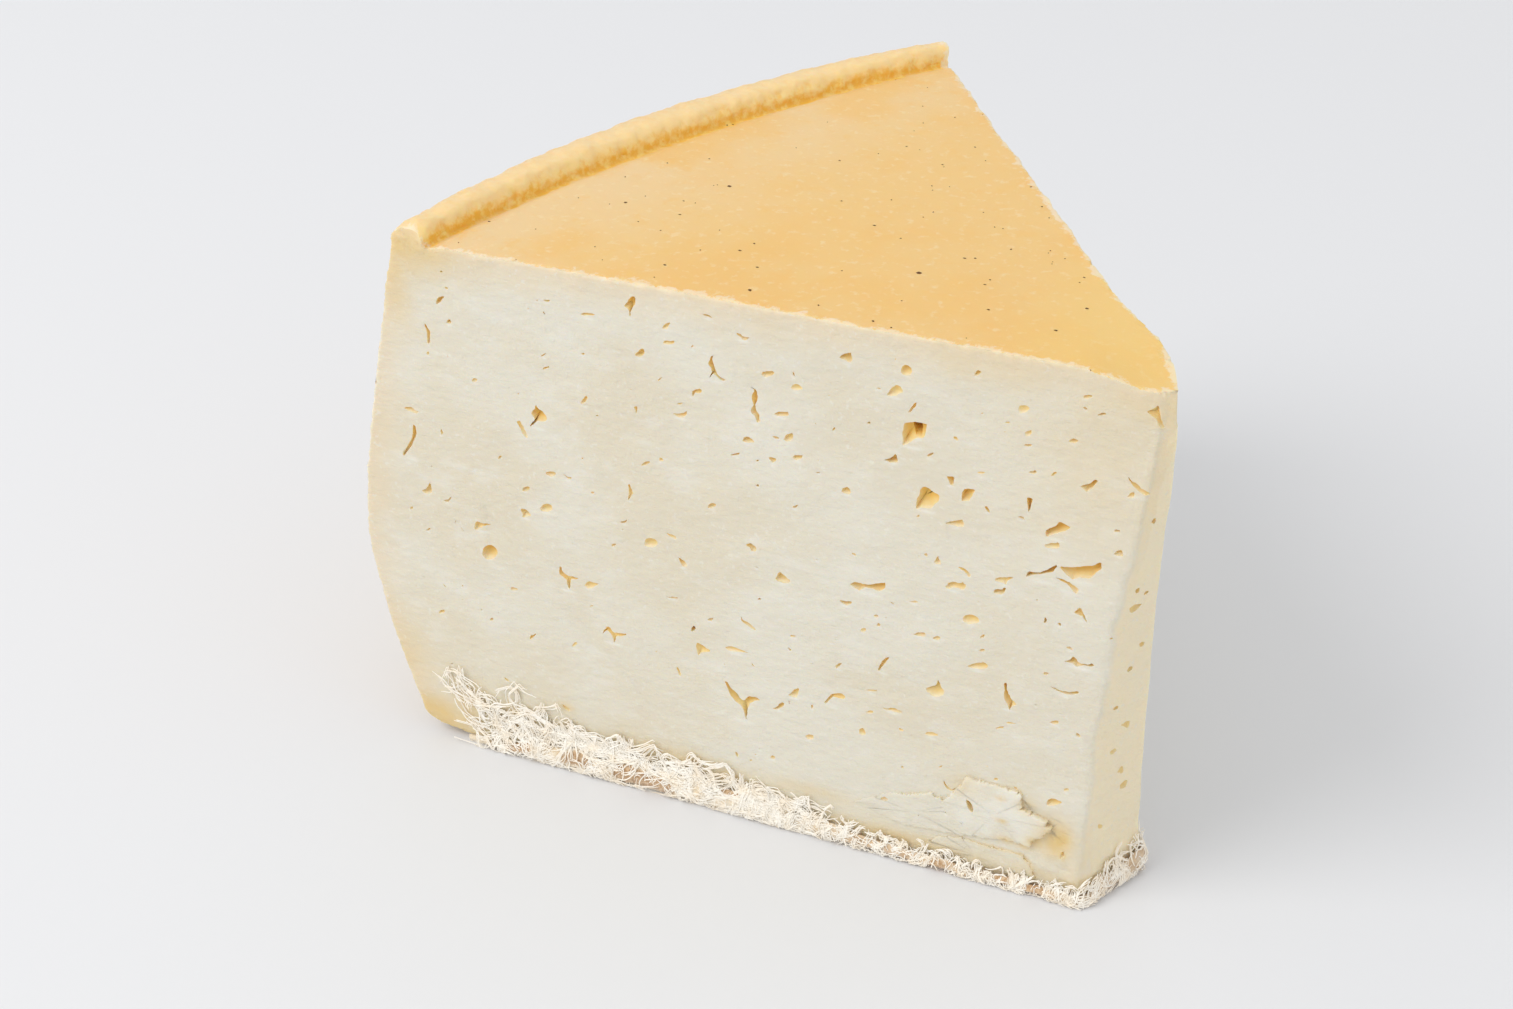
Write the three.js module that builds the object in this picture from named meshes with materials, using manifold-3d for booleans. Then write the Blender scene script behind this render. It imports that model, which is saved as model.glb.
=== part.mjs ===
// A wedge cut from a large, shallow wheel of semi-soft cheese, standing on the
// round of cheesecloth that still sticks to the wheel's underside.
//
// The wedge is made the way a cheesemonger makes it: first the whole wheel, with
// its raised rim round the top, then three knife cuts, then the small openings
// in the paste. Millimetres, +Z up. While it is built, the origin is the sharp
// point where the two long cuts would meet, the broad cut runs along -X in the
// plane y = 0, and the cloth's underside is at z = 0.

import * as THREE from 'three';
import { mergeVertices } from 'three/addons/utils/BufferGeometryUtils.js';
import Module from 'manifold-3d';

const wasm = await Module();
wasm.setup();

// ---- driving dimensions ---------------------------------------------------

// The wheel: its axis in plan, its flat top and its round side.
const WHEEL_AXIS = new THREE.Vector2(24.9, -2.8);
const TOP_Z = 94.5;
const CLOTH_THICKNESS = 1.2;
const GAP = 0.3;
const BASE_Z = CLOTH_THICKNESS + GAP;
const FOOT_RADIUS = 145;
const SIDE_STATIONS = [
  new THREE.Vector2(151.4, 2.9),
  new THREE.Vector2(153.4, 7),
  new THREE.Vector2(157.6, 20),
  new THREE.Vector2(160.4, 36),
  new THREE.Vector2(159.2, 50),
  new THREE.Vector2(154.6, 73),
  new THREE.Vector2(151.2, 89),
];
const SIDE_STEPS = 18;
const WHEEL_SEGMENTS = 220;
const TOP_ROWS = 8;

// The wheel isn't quite round: its side is flattened between the two cuts.
const FLATTENING = 2.8;
const FLATTENED_ARC = 128;

// The rim pressed up round the top by the mould, with a groove inside it. It is
// narrower, and slumps, where the broad cut goes through it.
const RIM_OUTER_RADIUS = 149.9;
const RIM_WIDTH = 9.4;
const RIM_END_WIDTH = 6;
const RIM_HEIGHT = 2.9;
const RIM_GROOVE_DEPTH = 0.5;
const RIM_SLUMP_LENGTH = 5;
const RIM_SLUMP = 0.85;
const RIM_SECTION = [[0, 0.2], [0.12, 0.62], [0.32, 0.93], [0.55, 1], [0.78, 0.9], [0.93, 0.35]];

// The unevenness of the rind: how deep it is and how long its waves are.
const SIDE_RELIEF = 0.5;
const SIDE_WAVE = 11;
const RIM_RELIEF = 0.4;
const RIM_WAVE = 2.6;
const TOP_RELIEF = 0.3;
const TOP_WAVE = 19;

// The cuts. The far cut turns 55.3 degrees from the broad one and leans out at
// its foot; a narrow third cut takes the point off, more at the foot.
const FAR_CUT_START = new THREE.Vector2(1.1, 0);
const FAR_CUT_TURN = THREE.MathUtils.degToRad(55.3);
const FAR_CUT_LEAN = 4.2;
const TIP_NEAR_SETBACK = [[10, 7.9], [30, 7.3], [50, 5.8], [70, 3.4], [84, 1.8], [95, 1.9]];
const TIP_FAR_SETBACK = [[10, 11.8], [30, 9.9], [50, 8], [70, 4.7], [84, 1.8], [95, 1.8]];
const CUT_LENGTH = 180;
const CUT_COLUMNS = 28;
const TIP_COLUMNS = 3;
const CUT_LEVELS = 16;
const CUT_RELIEF = 0.22;
const CUT_WAVE = 9;

// The cloth: its outer radius, and the frayed roll along the cuts.
const CLOTH_RADIUS = 144;
const CLOTH_FAR_LENGTH = 117.5;
const CLOTH_ARC_STEPS = 36;
const ROLL_NEAR_LENGTH = 118.5;
const ROLL_FAR_LENGTH = 116;
const ROLL_TURN_LENGTH = 6;
const FRAY_THICKNESS = 1.3;
const FRAY_CLEARANCE = 0.58;
const FRAY_LIFT = 0.4;
const FRAY_STEP = 3.2;
const FRAY_HEIGHT_BY_DISTANCE = [[0, 8], [12, 2.6], [45, 3.2], [62, 5.6], [100, 8], [119, 9.6], [150, 9.6]];

// ---- small helpers --------------------------------------------------------

const MERGE_DISTANCE = 1e-4;

// A seeded draw between 0 and 1.
function seededDraw(seed) {
  let state = seed >>> 0;
  return () => {
    state = (state + 0x6d2b79f5) >>> 0;
    let mixed = Math.imul(state ^ (state >>> 15), state | 1);
    mixed ^= mixed + Math.imul(mixed ^ (mixed >>> 7), mixed | 61);
    return ((mixed ^ (mixed >>> 14)) >>> 0) / 4294967296;
  };
}

// The value at `at` on straight lines through [place, value] pairs.
function between(pairs, at) {
  if (at <= pairs[0][0]) return pairs[0][1];
  for (let i = 1; i < pairs.length; i += 1) {
    const [place, value] = pairs[i];
    const [lastPlace, lastValue] = pairs[i - 1];
    if (at <= place) {
      return lastValue + ((value - lastValue) * (at - lastPlace)) / (place - lastPlace);
    }
  }
  return pairs[pairs.length - 1][1];
}

// A gentle, repeatable unevenness between about -1 and 1.
function uneven(x, y, z, size) {
  const coarse = Math.sin(x / size + 1.3) * Math.cos(y / size - 0.4) + Math.sin(z / size + 2.1);
  const fine = Math.sin((x + z) / (size * 0.43) + 0.7) * Math.cos((y - z) / (size * 0.37));
  return 0.35 * coarse + 0.3 * fine;
}

// A closed geometry as a manifold solid: shared corners merged, slivers dropped.
function solidOf(geometry) {
  const bare = geometry.clone();
  bare.deleteAttribute('normal');
  bare.deleteAttribute('uv');
  const merged = mergeVertices(bare, MERGE_DISTANCE);
  const corners = merged.index.array;
  const triangles = [];
  for (let i = 0; i < corners.length; i += 3) {
    const [a, b, c] = corners.slice(i, i + 3);
    if (a !== b && b !== c && c !== a) triangles.push(a, b, c);
  }
  return new wasm.Manifold(new wasm.Mesh({
    numProp: 3,
    vertProperties: new Float32Array(merged.attributes.position.array),
    triVerts: new Uint32Array(triangles),
  }));
}

// The one large piece of a solid, without the crumbs that a cut can leave loose.
function largestPiece(solid) {
  const pieces = solid.decompose();
  return pieces.reduce((largest, piece) => (piece.volume() > largest.volume() ? piece : largest));
}

// A solid skinned over equal rings of points, its two ends closed by fans.
function loft(rings) {
  const count = rings[0].length;
  const positions = rings.flat().flatMap((point) => point.toArray());
  const index = [];
  for (let row = 0; row + 1 < rings.length; row += 1) {
    for (let i = 0; i < count; i += 1) {
      const next = (i + 1) % count;
      const low = row * count;
      const high = low + count;
      index.push(low + i, low + next, high + next, low + i, high + next, high + i);
    }
  }
  for (const [row, turned] of [[0, true], [rings.length - 1, false]]) {
    const middle = new THREE.Vector3();
    rings[row].forEach((point) => middle.addScaledVector(point, 1 / count));
    const hub = positions.length / 3;
    positions.push(...middle.toArray());
    for (let i = 0; i < count; i += 1) {
      const here = row * count + i;
      const next = row * count + ((i + 1) % count);
      if (turned) index.push(hub, next, here);
      else index.push(hub, here, next);
    }
  }
  const geometry = new THREE.BufferGeometry();
  geometry.setAttribute('position', new THREE.Float32BufferAttribute(positions, 3));
  geometry.setIndex(index);
  return solidOf(geometry);
}

// ---- the wheel ------------------------------------------------------------

// Half the wheel's section at the broad cut, from the axis along the base, up
// the side, over the rim and back to the axis along the top.
function wheelSection() {
  const side = new THREE.SplineCurve([
    new THREE.Vector2(FOOT_RADIUS, BASE_Z),
    ...SIDE_STATIONS,
    new THREE.Vector2(RIM_OUTER_RADIUS, TOP_Z),
  ]);
  const rim = RIM_SECTION.map(([across, up]) => (
    new THREE.Vector2(RIM_OUTER_RADIUS - across * RIM_END_WIDTH, TOP_Z + up * RIM_HEIGHT)
  ));
  const groove = new THREE.Vector2(RIM_OUTER_RADIUS - RIM_END_WIDTH, TOP_Z - RIM_GROOVE_DEPTH);
  const top = [];
  const topRadius = groove.x - 0.35 * RIM_END_WIDTH;
  for (let row = 0; row <= TOP_ROWS; row += 1) {
    top.push(new THREE.Vector2(topRadius * (1 - row / TOP_ROWS), TOP_Z));
  }
  return [new THREE.Vector2(0, BASE_Z), ...side.getPoints(SIDE_STEPS), ...rim, groove, ...top];
}

// How far a point of the wheel moves in towards the axis: the side by the
// flattening, and the groove by the rim's extra width as well.
function inwards(radius, arc) {
  const across = THREE.MathUtils.clamp(arc / FLATTENED_ARC, 0, 1);
  const share = 4 * across * (1 - across);
  const acrossRim = THREE.MathUtils.clamp((RIM_OUTER_RADIUS - radius) / RIM_END_WIDTH, 0, 1);
  const fade = Math.min(1, radius / (RIM_OUTER_RADIUS - RIM_END_WIDTH));
  return share * fade * (FLATTENING + acrossRim * (RIM_WIDTH - RIM_END_WIDTH));
}

// The whole wheel, with the slight lumps of a hand-turned rind.
function wheel() {
  const geometry = new THREE.LatheGeometry(wheelSection(), WHEEL_SEGMENTS);
  geometry.rotateX(Math.PI / 2);
  const position = geometry.attributes.position;
  const centreClear = 10;
  for (let i = 0; i < position.count; i += 1) {
    const [x, y, z] = [position.getX(i), position.getY(i), position.getZ(i)];
    const radius = Math.hypot(x, y);
    if (radius < centreClear) continue;
    const arc = RIM_OUTER_RADIUS * (Math.PI - Math.abs(Math.atan2(y, x)));
    const lumps = z > BASE_Z + GAP && z < TOP_Z ? SIDE_RELIEF * uneven(x, y, z, SIDE_WAVE) : 0;
    const scale = 1 + (lumps - inwards(radius, arc)) / radius;
    position.setXY(i, x * scale, y * scale);
    if (z > TOP_Z) {
      const slump = 1 - RIM_SLUMP * (1 - THREE.MathUtils.smoothstep(y, 0, RIM_SLUMP_LENGTH));
      const bumps = RIM_RELIEF * uneven(x, y, 0, RIM_WAVE);
      position.setZ(i, TOP_Z + (z - TOP_Z + bumps) * slump);
    } else if (z > TOP_Z - RIM_HEIGHT && radius < RIM_OUTER_RADIUS - RIM_END_WIDTH + 1) {
      position.setZ(i, z + TOP_RELIEF * uneven(x, y, 0, TOP_WAVE));
    }
  }
  geometry.translate(WHEEL_AXIS.x, WHEEL_AXIS.y, 0);
  return solidOf(geometry);
}

// ---- the cuts -------------------------------------------------------------

const farDirection = new THREE.Vector2(-Math.cos(FAR_CUT_TURN), Math.sin(FAR_CUT_TURN));
const farNormal = new THREE.Vector2(farDirection.y, -farDirection.x);

// A point on the broad cut, `along` millimetres from its sharp end.
function onNearCut(along, z, proud = 0) {
  return new THREE.Vector3(-along, -proud, z);
}

// A point on the far cut, which leans out towards its foot.
function onFarCut(along, z, proud = 0) {
  const out = proud + FAR_CUT_LEAN * (1 - z / TOP_Z);
  const x = FAR_CUT_START.x + farDirection.x * along + farNormal.x * out;
  const y = FAR_CUT_START.y + farDirection.y * along + farNormal.y * out;
  return new THREE.Vector3(x, y, z);
}

// The two upright edges of the narrow cut across the point.
function tipNearEdge(z, proud = 0) {
  return onNearCut(between(TIP_NEAR_SETBACK, z), z, proud);
}

function tipFarEdge(z, proud = 0) {
  return onFarCut(between(TIP_FAR_SETBACK, z), z, proud);
}

// Everything that the knife leaves: a tall wedge whose faces carry the slight
// waves of the cut.
function knifeWedge() {
  const rings = [];
  const lowest = -1;
  const highest = TOP_Z + RIM_HEIGHT + 4;
  for (let level = 0; level <= CUT_LEVELS; level += 1) {
    const z = lowest + ((highest - lowest) * level) / CUT_LEVELS;
    const nearEdge = between(TIP_NEAR_SETBACK, z);
    const farEdge = between(TIP_FAR_SETBACK, z);
    const ring = [];
    for (let i = 0; i < CUT_COLUMNS; i += 1) {
      const along = CUT_LENGTH + ((nearEdge - CUT_LENGTH) * i) / CUT_COLUMNS;
      ring.push(onNearCut(along, z, CUT_RELIEF * uneven(along, 0, z, CUT_WAVE)));
    }
    for (let i = 0; i < TIP_COLUMNS; i += 1) {
      ring.push(tipNearEdge(z).lerp(tipFarEdge(z), i / TIP_COLUMNS));
    }
    for (let i = 0; i <= CUT_COLUMNS; i += 1) {
      const along = farEdge + ((CUT_LENGTH - farEdge) * i) / CUT_COLUMNS;
      ring.push(onFarCut(along, z, CUT_RELIEF * uneven(along, CUT_LENGTH, z, CUT_WAVE)));
    }
    rings.push(ring);
  }
  return loft(rings);
}

// ---- the openings in the paste --------------------------------------------

const OPENING_DEPTH = 2.6;
const FINE_LUMP_WIDTH = 3;

// One opening: a jagged lump that is cut out of the paste at a face. Its slope
// tilts it in the face, and its raggedness roughens it.
function openingLump([, , width, height, slope, ragged], draw) {
  const faceted = new THREE.IcosahedronGeometry(1, width > FINE_LUMP_WIDTH ? 1 : 0);
  faceted.deleteAttribute('normal');
  faceted.deleteAttribute('uv');
  const lump = mergeVertices(faceted, MERGE_DISTANCE);
  const position = lump.attributes.position;
  for (let i = 0; i < position.count; i += 1) {
    const reach = 1 + ragged * (draw() - 0.5);
    position.setXYZ(i, position.getX(i) * reach, position.getY(i) * reach, position.getZ(i) * reach);
  }
  lump.scale(width / 2, OPENING_DEPTH, height / 2);
  lump.rotateY(THREE.MathUtils.degToRad(-slope));
  return lump;
}

// The openings that show best on the broad cut: distance from the sharp end,
// height, width, height of the opening, slope in degrees, raggedness.
const NEAR_OPENINGS = {
  squarePit: [37.5, 79, 4.2, 4.6, 8, 0.3],
  shallowPit: [35.2, 68.3, 3.8, 3.6, 0, 0.4],
  roundEye: [111.5, 40.5, 3.2, 3.1, 0, 0.05],
  starCrack: [33.2, 34.5, 3.4, 3.2, 20, 0.8],
  starCrackRight: [21.2, 36, 2.2, 3.8, -10, 0.8],
  yCrackArm: [66.4, 23.4, 5.2, 1.6, -18, 0.6],
  yCrackStem: [64.4, 21, 1.5, 4.2, 0, 0.6],
  wideCrack: [13.6, 61.2, 13, 1.4, 23, 0.5],
  wideCrackMouth: [9.6, 62.6, 5, 2.4, 4, 0.5],
  slantedGash: [15, 67.8, 4.4, 2.4, 28, 0.4],
  outerCrack: [125.6, 58.6, 1.3, 7.6, -22, 0.4],
  outerCrackHead: [124.3, 64.3, 3.2, 1.1, 10, 0.4],
  forkedGap: [69.2, 83, 1.6, 4.2, -25, 0.6],
  topTriangle: [83.2, 91, 1.8, 3, 0, 0.4],
  starWithTail: [100.2, 68.5, 2.8, 3.2, 35, 0.6],
  branching: [94.8, 39.2, 5.2, 1.6, -12, 0.7],
  branchingLow: [88.8, 30, 3.6, 1.6, 10, 0.6],
  longCrack: [44, 51, 6, 1.1, 4, 0.5],
  lowTear: [26, 40.8, 3.6, 1.3, 6, 0.4],
  tallSlit: [63, 77.8, 1.3, 4.2, 8, 0.4],
};

// The rest are drawn: closer together towards the point, flat and small.
const DRAWN_NEAR = { count: 26, seed: 11, last: 118 };
const DRAWN_FAR = { count: 38, seed: 23, last: 122 };
const DRAWN_FIRST = 10;
const DRAWN_LOWEST = 12;
const DRAWN_HIGHEST = 90;
const DRAWN_SMALLEST = 1.6;
const DRAWN_LARGEST = 4.2;
const DRAWN_SLOPE = 60;
const DRAWN_RAGGED = 0.5;

function drawnOpenings({ count, seed, last }) {
  const draw = seededDraw(seed);
  const openings = [];
  for (let i = 0; i < count; i += 1) {
    const along = DRAWN_FIRST + (last - DRAWN_FIRST) * draw() ** 1.25;
    const z = DRAWN_LOWEST + (DRAWN_HIGHEST - DRAWN_LOWEST) * draw();
    const width = DRAWN_SMALLEST + (DRAWN_LARGEST - DRAWN_SMALLEST) * draw() ** 2;
    const height = width * (0.45 + 0.6 * draw());
    openings.push([along, z, width, height, DRAWN_SLOPE * (draw() - 0.5), DRAWN_RAGGED]);
  }
  return openings;
}

// Cuts a list of openings into the paste. `place` puts a lump on its face.
function cutOpenings(paste, openings, place, turn, seed) {
  const draw = seededDraw(seed);
  const lumps = openings.map((opening) => {
    const [along, z] = opening;
    const lump = openingLump(opening, draw);
    lump.rotateZ(turn);
    lump.translate(...place(along, z).toArray());
    return solidOf(lump);
  });
  return paste.subtract(wasm.Manifold.union(lumps));
}

// ---- the torn flake at the foot of the broad cut ---------------------------

// A thin tongue of paste that the knife pulled loose and pressed back, with a
// jagged free edge towards the point.
const FLAKE_LEFT = -42;
const FLAKE_FOOT = 5;
const FLAKE_JAGS = [
  [-16, 5.4],
  [-13.4, 8.2],
  [-16.2, 10.4],
  [-13.6, 12.8],
  [-17.6, 14],
  [-18.6, 17.4],
  [-22.4, 19],
];
const FLAKE_PROUD = 0.9;

function tornFlake() {
  const shape = new THREE.Shape();
  shape.moveTo(FLAKE_LEFT, FLAKE_FOOT + 2);
  shape.lineTo(FLAKE_LEFT + 5, FLAKE_FOOT);
  FLAKE_JAGS.forEach(([x, z]) => shape.lineTo(x, z));
  shape.lineTo(FLAKE_LEFT + 9, FLAKE_FOOT + 6);
  const flake = new THREE.ExtrudeGeometry(shape, { depth: 2 * FLAKE_PROUD, bevelEnabled: false });
  flake.rotateX(Math.PI / 2);
  flake.translate(0, FLAKE_PROUD, 0);
  return solidOf(flake);
}

// ---- the cheese -----------------------------------------------------------

function cheeseSolid() {
  const farTurn = Math.atan2(farNormal.x, -farNormal.y);
  let paste = wheel().intersect(knifeWedge()).add(tornFlake());
  paste = cutOpenings(paste, Object.values(NEAR_OPENINGS), onNearCut, 0, 5);
  paste = cutOpenings(paste, drawnOpenings(DRAWN_NEAR), onNearCut, 0, 7);
  return cutOpenings(paste, drawnOpenings(DRAWN_FAR), onFarCut, farTurn, 9);
}

// ---- the cloth ------------------------------------------------------------

// The round of cheesecloth, cut through with the wheel: flat under the base and
// short of the wheel's round foot.
function clothSheet() {
  const reach = FRAY_CLEARANCE + 0.5 * FRAY_THICKNESS;
  const shape = new THREE.Shape();
  const corner = (point) => new THREE.Vector2(point.x, point.y);
  const axisToNearCut = CLOTH_RADIUS - WHEEL_AXIS.x;
  const farEnd = corner(onFarCut(CLOTH_FAR_LENGTH, 0, reach));
  const nearAngle = Math.PI - Math.asin((-reach - WHEEL_AXIS.y) / CLOTH_RADIUS);
  const farAngle = Math.atan2(farEnd.y - WHEEL_AXIS.y, farEnd.x - WHEEL_AXIS.x);
  shape.moveTo(-axisToNearCut, -reach);
  for (const edge of [tipNearEdge(0, reach), tipFarEdge(0, reach), farEnd]) {
    shape.lineTo(edge.x, edge.y);
  }
  for (let i = 1; i < CLOTH_ARC_STEPS; i += 1) {
    const angle = farAngle + ((nearAngle - farAngle) * i) / CLOTH_ARC_STEPS;
    const x = WHEEL_AXIS.x + CLOTH_RADIUS * Math.cos(angle);
    shape.lineTo(x, WHEEL_AXIS.y + CLOTH_RADIUS * Math.sin(angle));
  }
  return solidOf(new THREE.ExtrudeGeometry(shape, { depth: CLOTH_THICKNESS, bevelEnabled: false }));
}

// The frayed threads, matted into a lumpy roll that stands against the foot of
// all three cuts.
function frayedRoll() {
  const nearEnd = onNearCut(ROLL_NEAR_LENGTH, 0);
  const farEnd = onFarCut(ROLL_FAR_LENGTH, 0);
  const corners = [nearEnd, tipNearEdge(0), tipFarEdge(0), farEnd];
  const [nearRun, tipRun, farRun] = [0, 1, 2].map((i) => corners[i].distanceTo(corners[i + 1]));
  const stations = [];
  let start = 0;
  [nearRun, tipRun, farRun].forEach((run, leg) => {
    const steps = Math.round(run / FRAY_STEP);
    for (let step = leg === 0 ? 0 : 1; step <= steps; step += 1) {
      const foot = corners[leg].clone().lerp(corners[leg + 1], step / steps);
      stations.push([start + (run * step) / steps, foot]);
    }
    start += run;
  });
  const draw = seededDraw(31);
  const rings = [];
  for (const [travelled, foot] of stations) {
    const away = outwardAt(travelled, nearRun, tipRun);
    const fromPoint = Math.max(0, nearRun - travelled, travelled - nearRun - tipRun);
    const height = between(FRAY_HEIGHT_BY_DISTANCE, fromPoint) * (0.75 + 0.4 * draw());
    const thick = FRAY_THICKNESS * (0.75 + 0.5 * draw());
    const section = [
      [FRAY_CLEARANCE, 0.8 * height],
      [FRAY_CLEARANCE + 0.4 * thick, height],
      [FRAY_CLEARANCE + 0.75 * thick, 0.75 * height],
      [FRAY_CLEARANCE + thick, 0.3 * height],
      [FRAY_CLEARANCE + 0.8 * thick, FRAY_LIFT],
      [FRAY_CLEARANCE, FRAY_LIFT],
    ];
    rings.push(section.map(([out, z]) => new THREE.Vector3(foot.x + away.x * out, foot.y + away.y * out, z)));
  }
  return loft(rings);
}

// The direction away from the cuts at a distance along the roll, turned gently
// round the two corners at the point.
function outwardAt(travelled, nearRun, tipRun) {
  const tipNear = tipNearEdge(0);
  const across = tipFarEdge(0).sub(tipNear);
  const tipNormal = new THREE.Vector2(across.y, -across.x).normalize();
  const nearNormal = new THREE.Vector2(0, -1);
  const halfWay = nearRun + 0.5 * tipRun;
  const intoTip = THREE.MathUtils.smoothstep(travelled, nearRun - ROLL_TURN_LENGTH, halfWay);
  const outOfTip = THREE.MathUtils.smoothstep(travelled, halfWay, nearRun + tipRun + ROLL_TURN_LENGTH);
  return nearNormal.lerp(tipNormal, intoTip).lerp(farNormal, outOfTip).normalize();
}

function clothSolid() {
  return clothSheet().add(frayedRoll());
}

// ---- materials and the finished group -------------------------------------

const cheeseMaterial = new THREE.MeshStandardMaterial({ color: 0xe6dcc4, roughness: 0.55, metalness: 0 });
const clothMaterial = new THREE.MeshStandardMaterial({ color: 0xe2d8c2, roughness: 0.95, metalness: 0 });

function meshOf(name, solid, material) {
  const { vertProperties, triVerts } = largestPiece(solid).getMesh();
  const geometry = new THREE.BufferGeometry();
  geometry.setAttribute('position', new THREE.Float32BufferAttribute(vertProperties, 3));
  geometry.setIndex(new THREE.Uint32BufferAttribute(triVerts, 1));
  geometry.computeVertexNormals();
  const mesh = new THREE.Mesh(geometry, material);
  mesh.name = name;
  return mesh;
}

const group = new THREE.Group();
group.add(meshOf('cheese', cheeseSolid(), cheeseMaterial));
group.add(meshOf('cloth', clothSolid(), clothMaterial));

// The part's own origin is the middle of the space it stands in, on the floor.
const space = new THREE.Box3().setFromObject(group);
const middle = space.getCenter(new THREE.Vector3());
group.position.set(-middle.x, -middle.y, -space.min.z);

export default group;
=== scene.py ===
# A wedge of semi-soft cheese on the round of cheesecloth it was pressed in.
# Lengths are in millimetres until a mesh is made. They are measured from the
# sharp point where the wedge's two long cuts would meet: x runs along the
# broad cut, y into the cheese and z up from the table.

import math

import bpy
import numpy as np
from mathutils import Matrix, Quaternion, Vector, noise


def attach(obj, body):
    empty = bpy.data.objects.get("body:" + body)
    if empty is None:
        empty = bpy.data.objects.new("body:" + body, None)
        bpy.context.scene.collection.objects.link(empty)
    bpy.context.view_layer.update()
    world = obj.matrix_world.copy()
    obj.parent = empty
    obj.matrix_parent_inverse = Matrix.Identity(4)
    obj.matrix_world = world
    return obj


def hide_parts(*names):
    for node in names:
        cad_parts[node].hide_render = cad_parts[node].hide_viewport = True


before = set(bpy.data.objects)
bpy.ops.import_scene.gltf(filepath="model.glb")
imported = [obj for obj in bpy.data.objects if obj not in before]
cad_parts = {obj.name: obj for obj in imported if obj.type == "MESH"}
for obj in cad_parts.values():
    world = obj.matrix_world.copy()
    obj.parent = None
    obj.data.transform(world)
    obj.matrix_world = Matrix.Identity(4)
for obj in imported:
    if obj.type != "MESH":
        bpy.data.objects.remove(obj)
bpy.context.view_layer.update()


# ---- The table and the light ------------------------------------------------
# A white studio table that runs out of sight on all sides. A large soft window
# stands high on the left, and the white room fills in the shadow.

MM = 0.001
TABLE_SIZE = 24.0
TABLE_COLOUR = (0.785, 0.79, 0.808, 1)
TABLE_ROUGHNESS = 0.6
ROOM_COLOUR = (0.99, 0.995, 1.0, 1)
ROOM_STRENGTH = 0.82
WINDOW_PLACE = (-0.85, -0.95, 1.25)
WINDOW_SIZE = 1.1
WINDOW_POWER = 12.0
WINDOW_COLOUR = (1.0, 0.993, 0.98)


def made_object(name, data):
    made = bpy.data.objects.new(name, data)
    bpy.context.scene.collection.objects.link(made)
    return made


def plain_material(name, colour, roughness, specular=0.2):
    material = bpy.data.materials.new(name)
    material.use_nodes = True
    shader = material.node_tree.nodes["Principled BSDF"]
    shader.inputs["Base Color"].default_value = colour
    shader.inputs["Roughness"].default_value = roughness
    shader.inputs["Specular IOR Level"].default_value = specular
    return material


half = TABLE_SIZE / 2
table_corners = [(-half, -half, 0), (half, -half, 0), (half, half, 0), (-half, half, 0)]
table_mesh = bpy.data.meshes.new("table")
table_mesh.from_pydata(table_corners, [], [(0, 1, 2, 3)])
table_mesh.materials.append(plain_material("white_table", TABLE_COLOUR, TABLE_ROUGHNESS))
table = made_object("table", table_mesh)

room = bpy.data.worlds.new("white_room")
room.use_nodes = True
room.node_tree.nodes["Background"].inputs["Color"].default_value = ROOM_COLOUR
room.node_tree.nodes["Background"].inputs["Strength"].default_value = ROOM_STRENGTH
bpy.context.scene.world = room
bpy.context.scene.view_settings.view_transform = "Standard"

window_data = bpy.data.lights.new("window", "AREA")
window_data.shape = "DISK"
window_data.size = WINDOW_SIZE
window_data.energy = WINDOW_POWER
window_data.color = WINDOW_COLOUR
window = made_object("window", window_data)
window.location = WINDOW_PLACE
window.rotation_euler = (-Vector(WINDOW_PLACE)).to_track_quat("-Z", "Y").to_euler()


# ---- The camera -------------------------------------------------------------
# It stands in front of the broad cut, towards the sharp point, and looks down on
# the wedge so that its top and its narrow cut show as well.

CAMERA_PLACE = (0.13379, -0.34071, 0.24739)
CAMERA_AZIMUTH = math.radians(24.65)
CAMERA_ELEVATION = math.radians(31.02)
CAMERA_ROLL = math.radians(-0.97)
CAMERA_LENS = 56.25
CAMERA_NEAREST = 0.01

camera_data = bpy.data.cameras.new("camera")
camera_data.lens = CAMERA_LENS
camera_data.clip_start = CAMERA_NEAREST
camera = made_object("camera", camera_data)
level = math.cos(CAMERA_ELEVATION)
backwards = Vector((
    math.sin(CAMERA_AZIMUTH) * level,
    -math.cos(CAMERA_AZIMUTH) * level,
    math.sin(CAMERA_ELEVATION),
))
camera.location = CAMERA_PLACE
camera.rotation_mode = "QUATERNION"
camera.rotation_quaternion = (-backwards).to_track_quat("-Z", "Y") @ Quaternion((0, 0, 1), CAMERA_ROLL)
bpy.context.scene.camera = camera


# ---- The wheel --------------------------------------------------------------
# The wheel that the wedge was cut from: a round, slightly bulging side, and a
# flat top inside a raised rim that the mould pressed up. Only the slice of it
# round the wedge is made, as one closed skin.

SHARP_POINT = np.array([67.334, -58.723, 0.0])
WHEEL_AXIS = np.array([24.9, -2.8])
TOP = 94.5
BASE = 1.5
INNER_RADIUS = 18.0
FOOT_RADIUS = 145.0
# The side's section, from the foot up: radius and height.
SIDE = [(151.4, 2.9), (153.4, 7), (157.6, 20), (160.4, 36), (159.2, 50), (154.6, 73), (151.2, 89)]
RIM_RADIUS = 149.9
RIM_HEIGHT = 2.9
RIM_WIDTH = 9.4
RIM_END_WIDTH = 6.0
# The rim's section: how far in and how high, as shares of its width and height.
RIM_SECTION = [(0, 0.2), (0.12, 0.62), (0.32, 0.93), (0.55, 1), (0.78, 0.9), (0.93, 0.35)]
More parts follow.
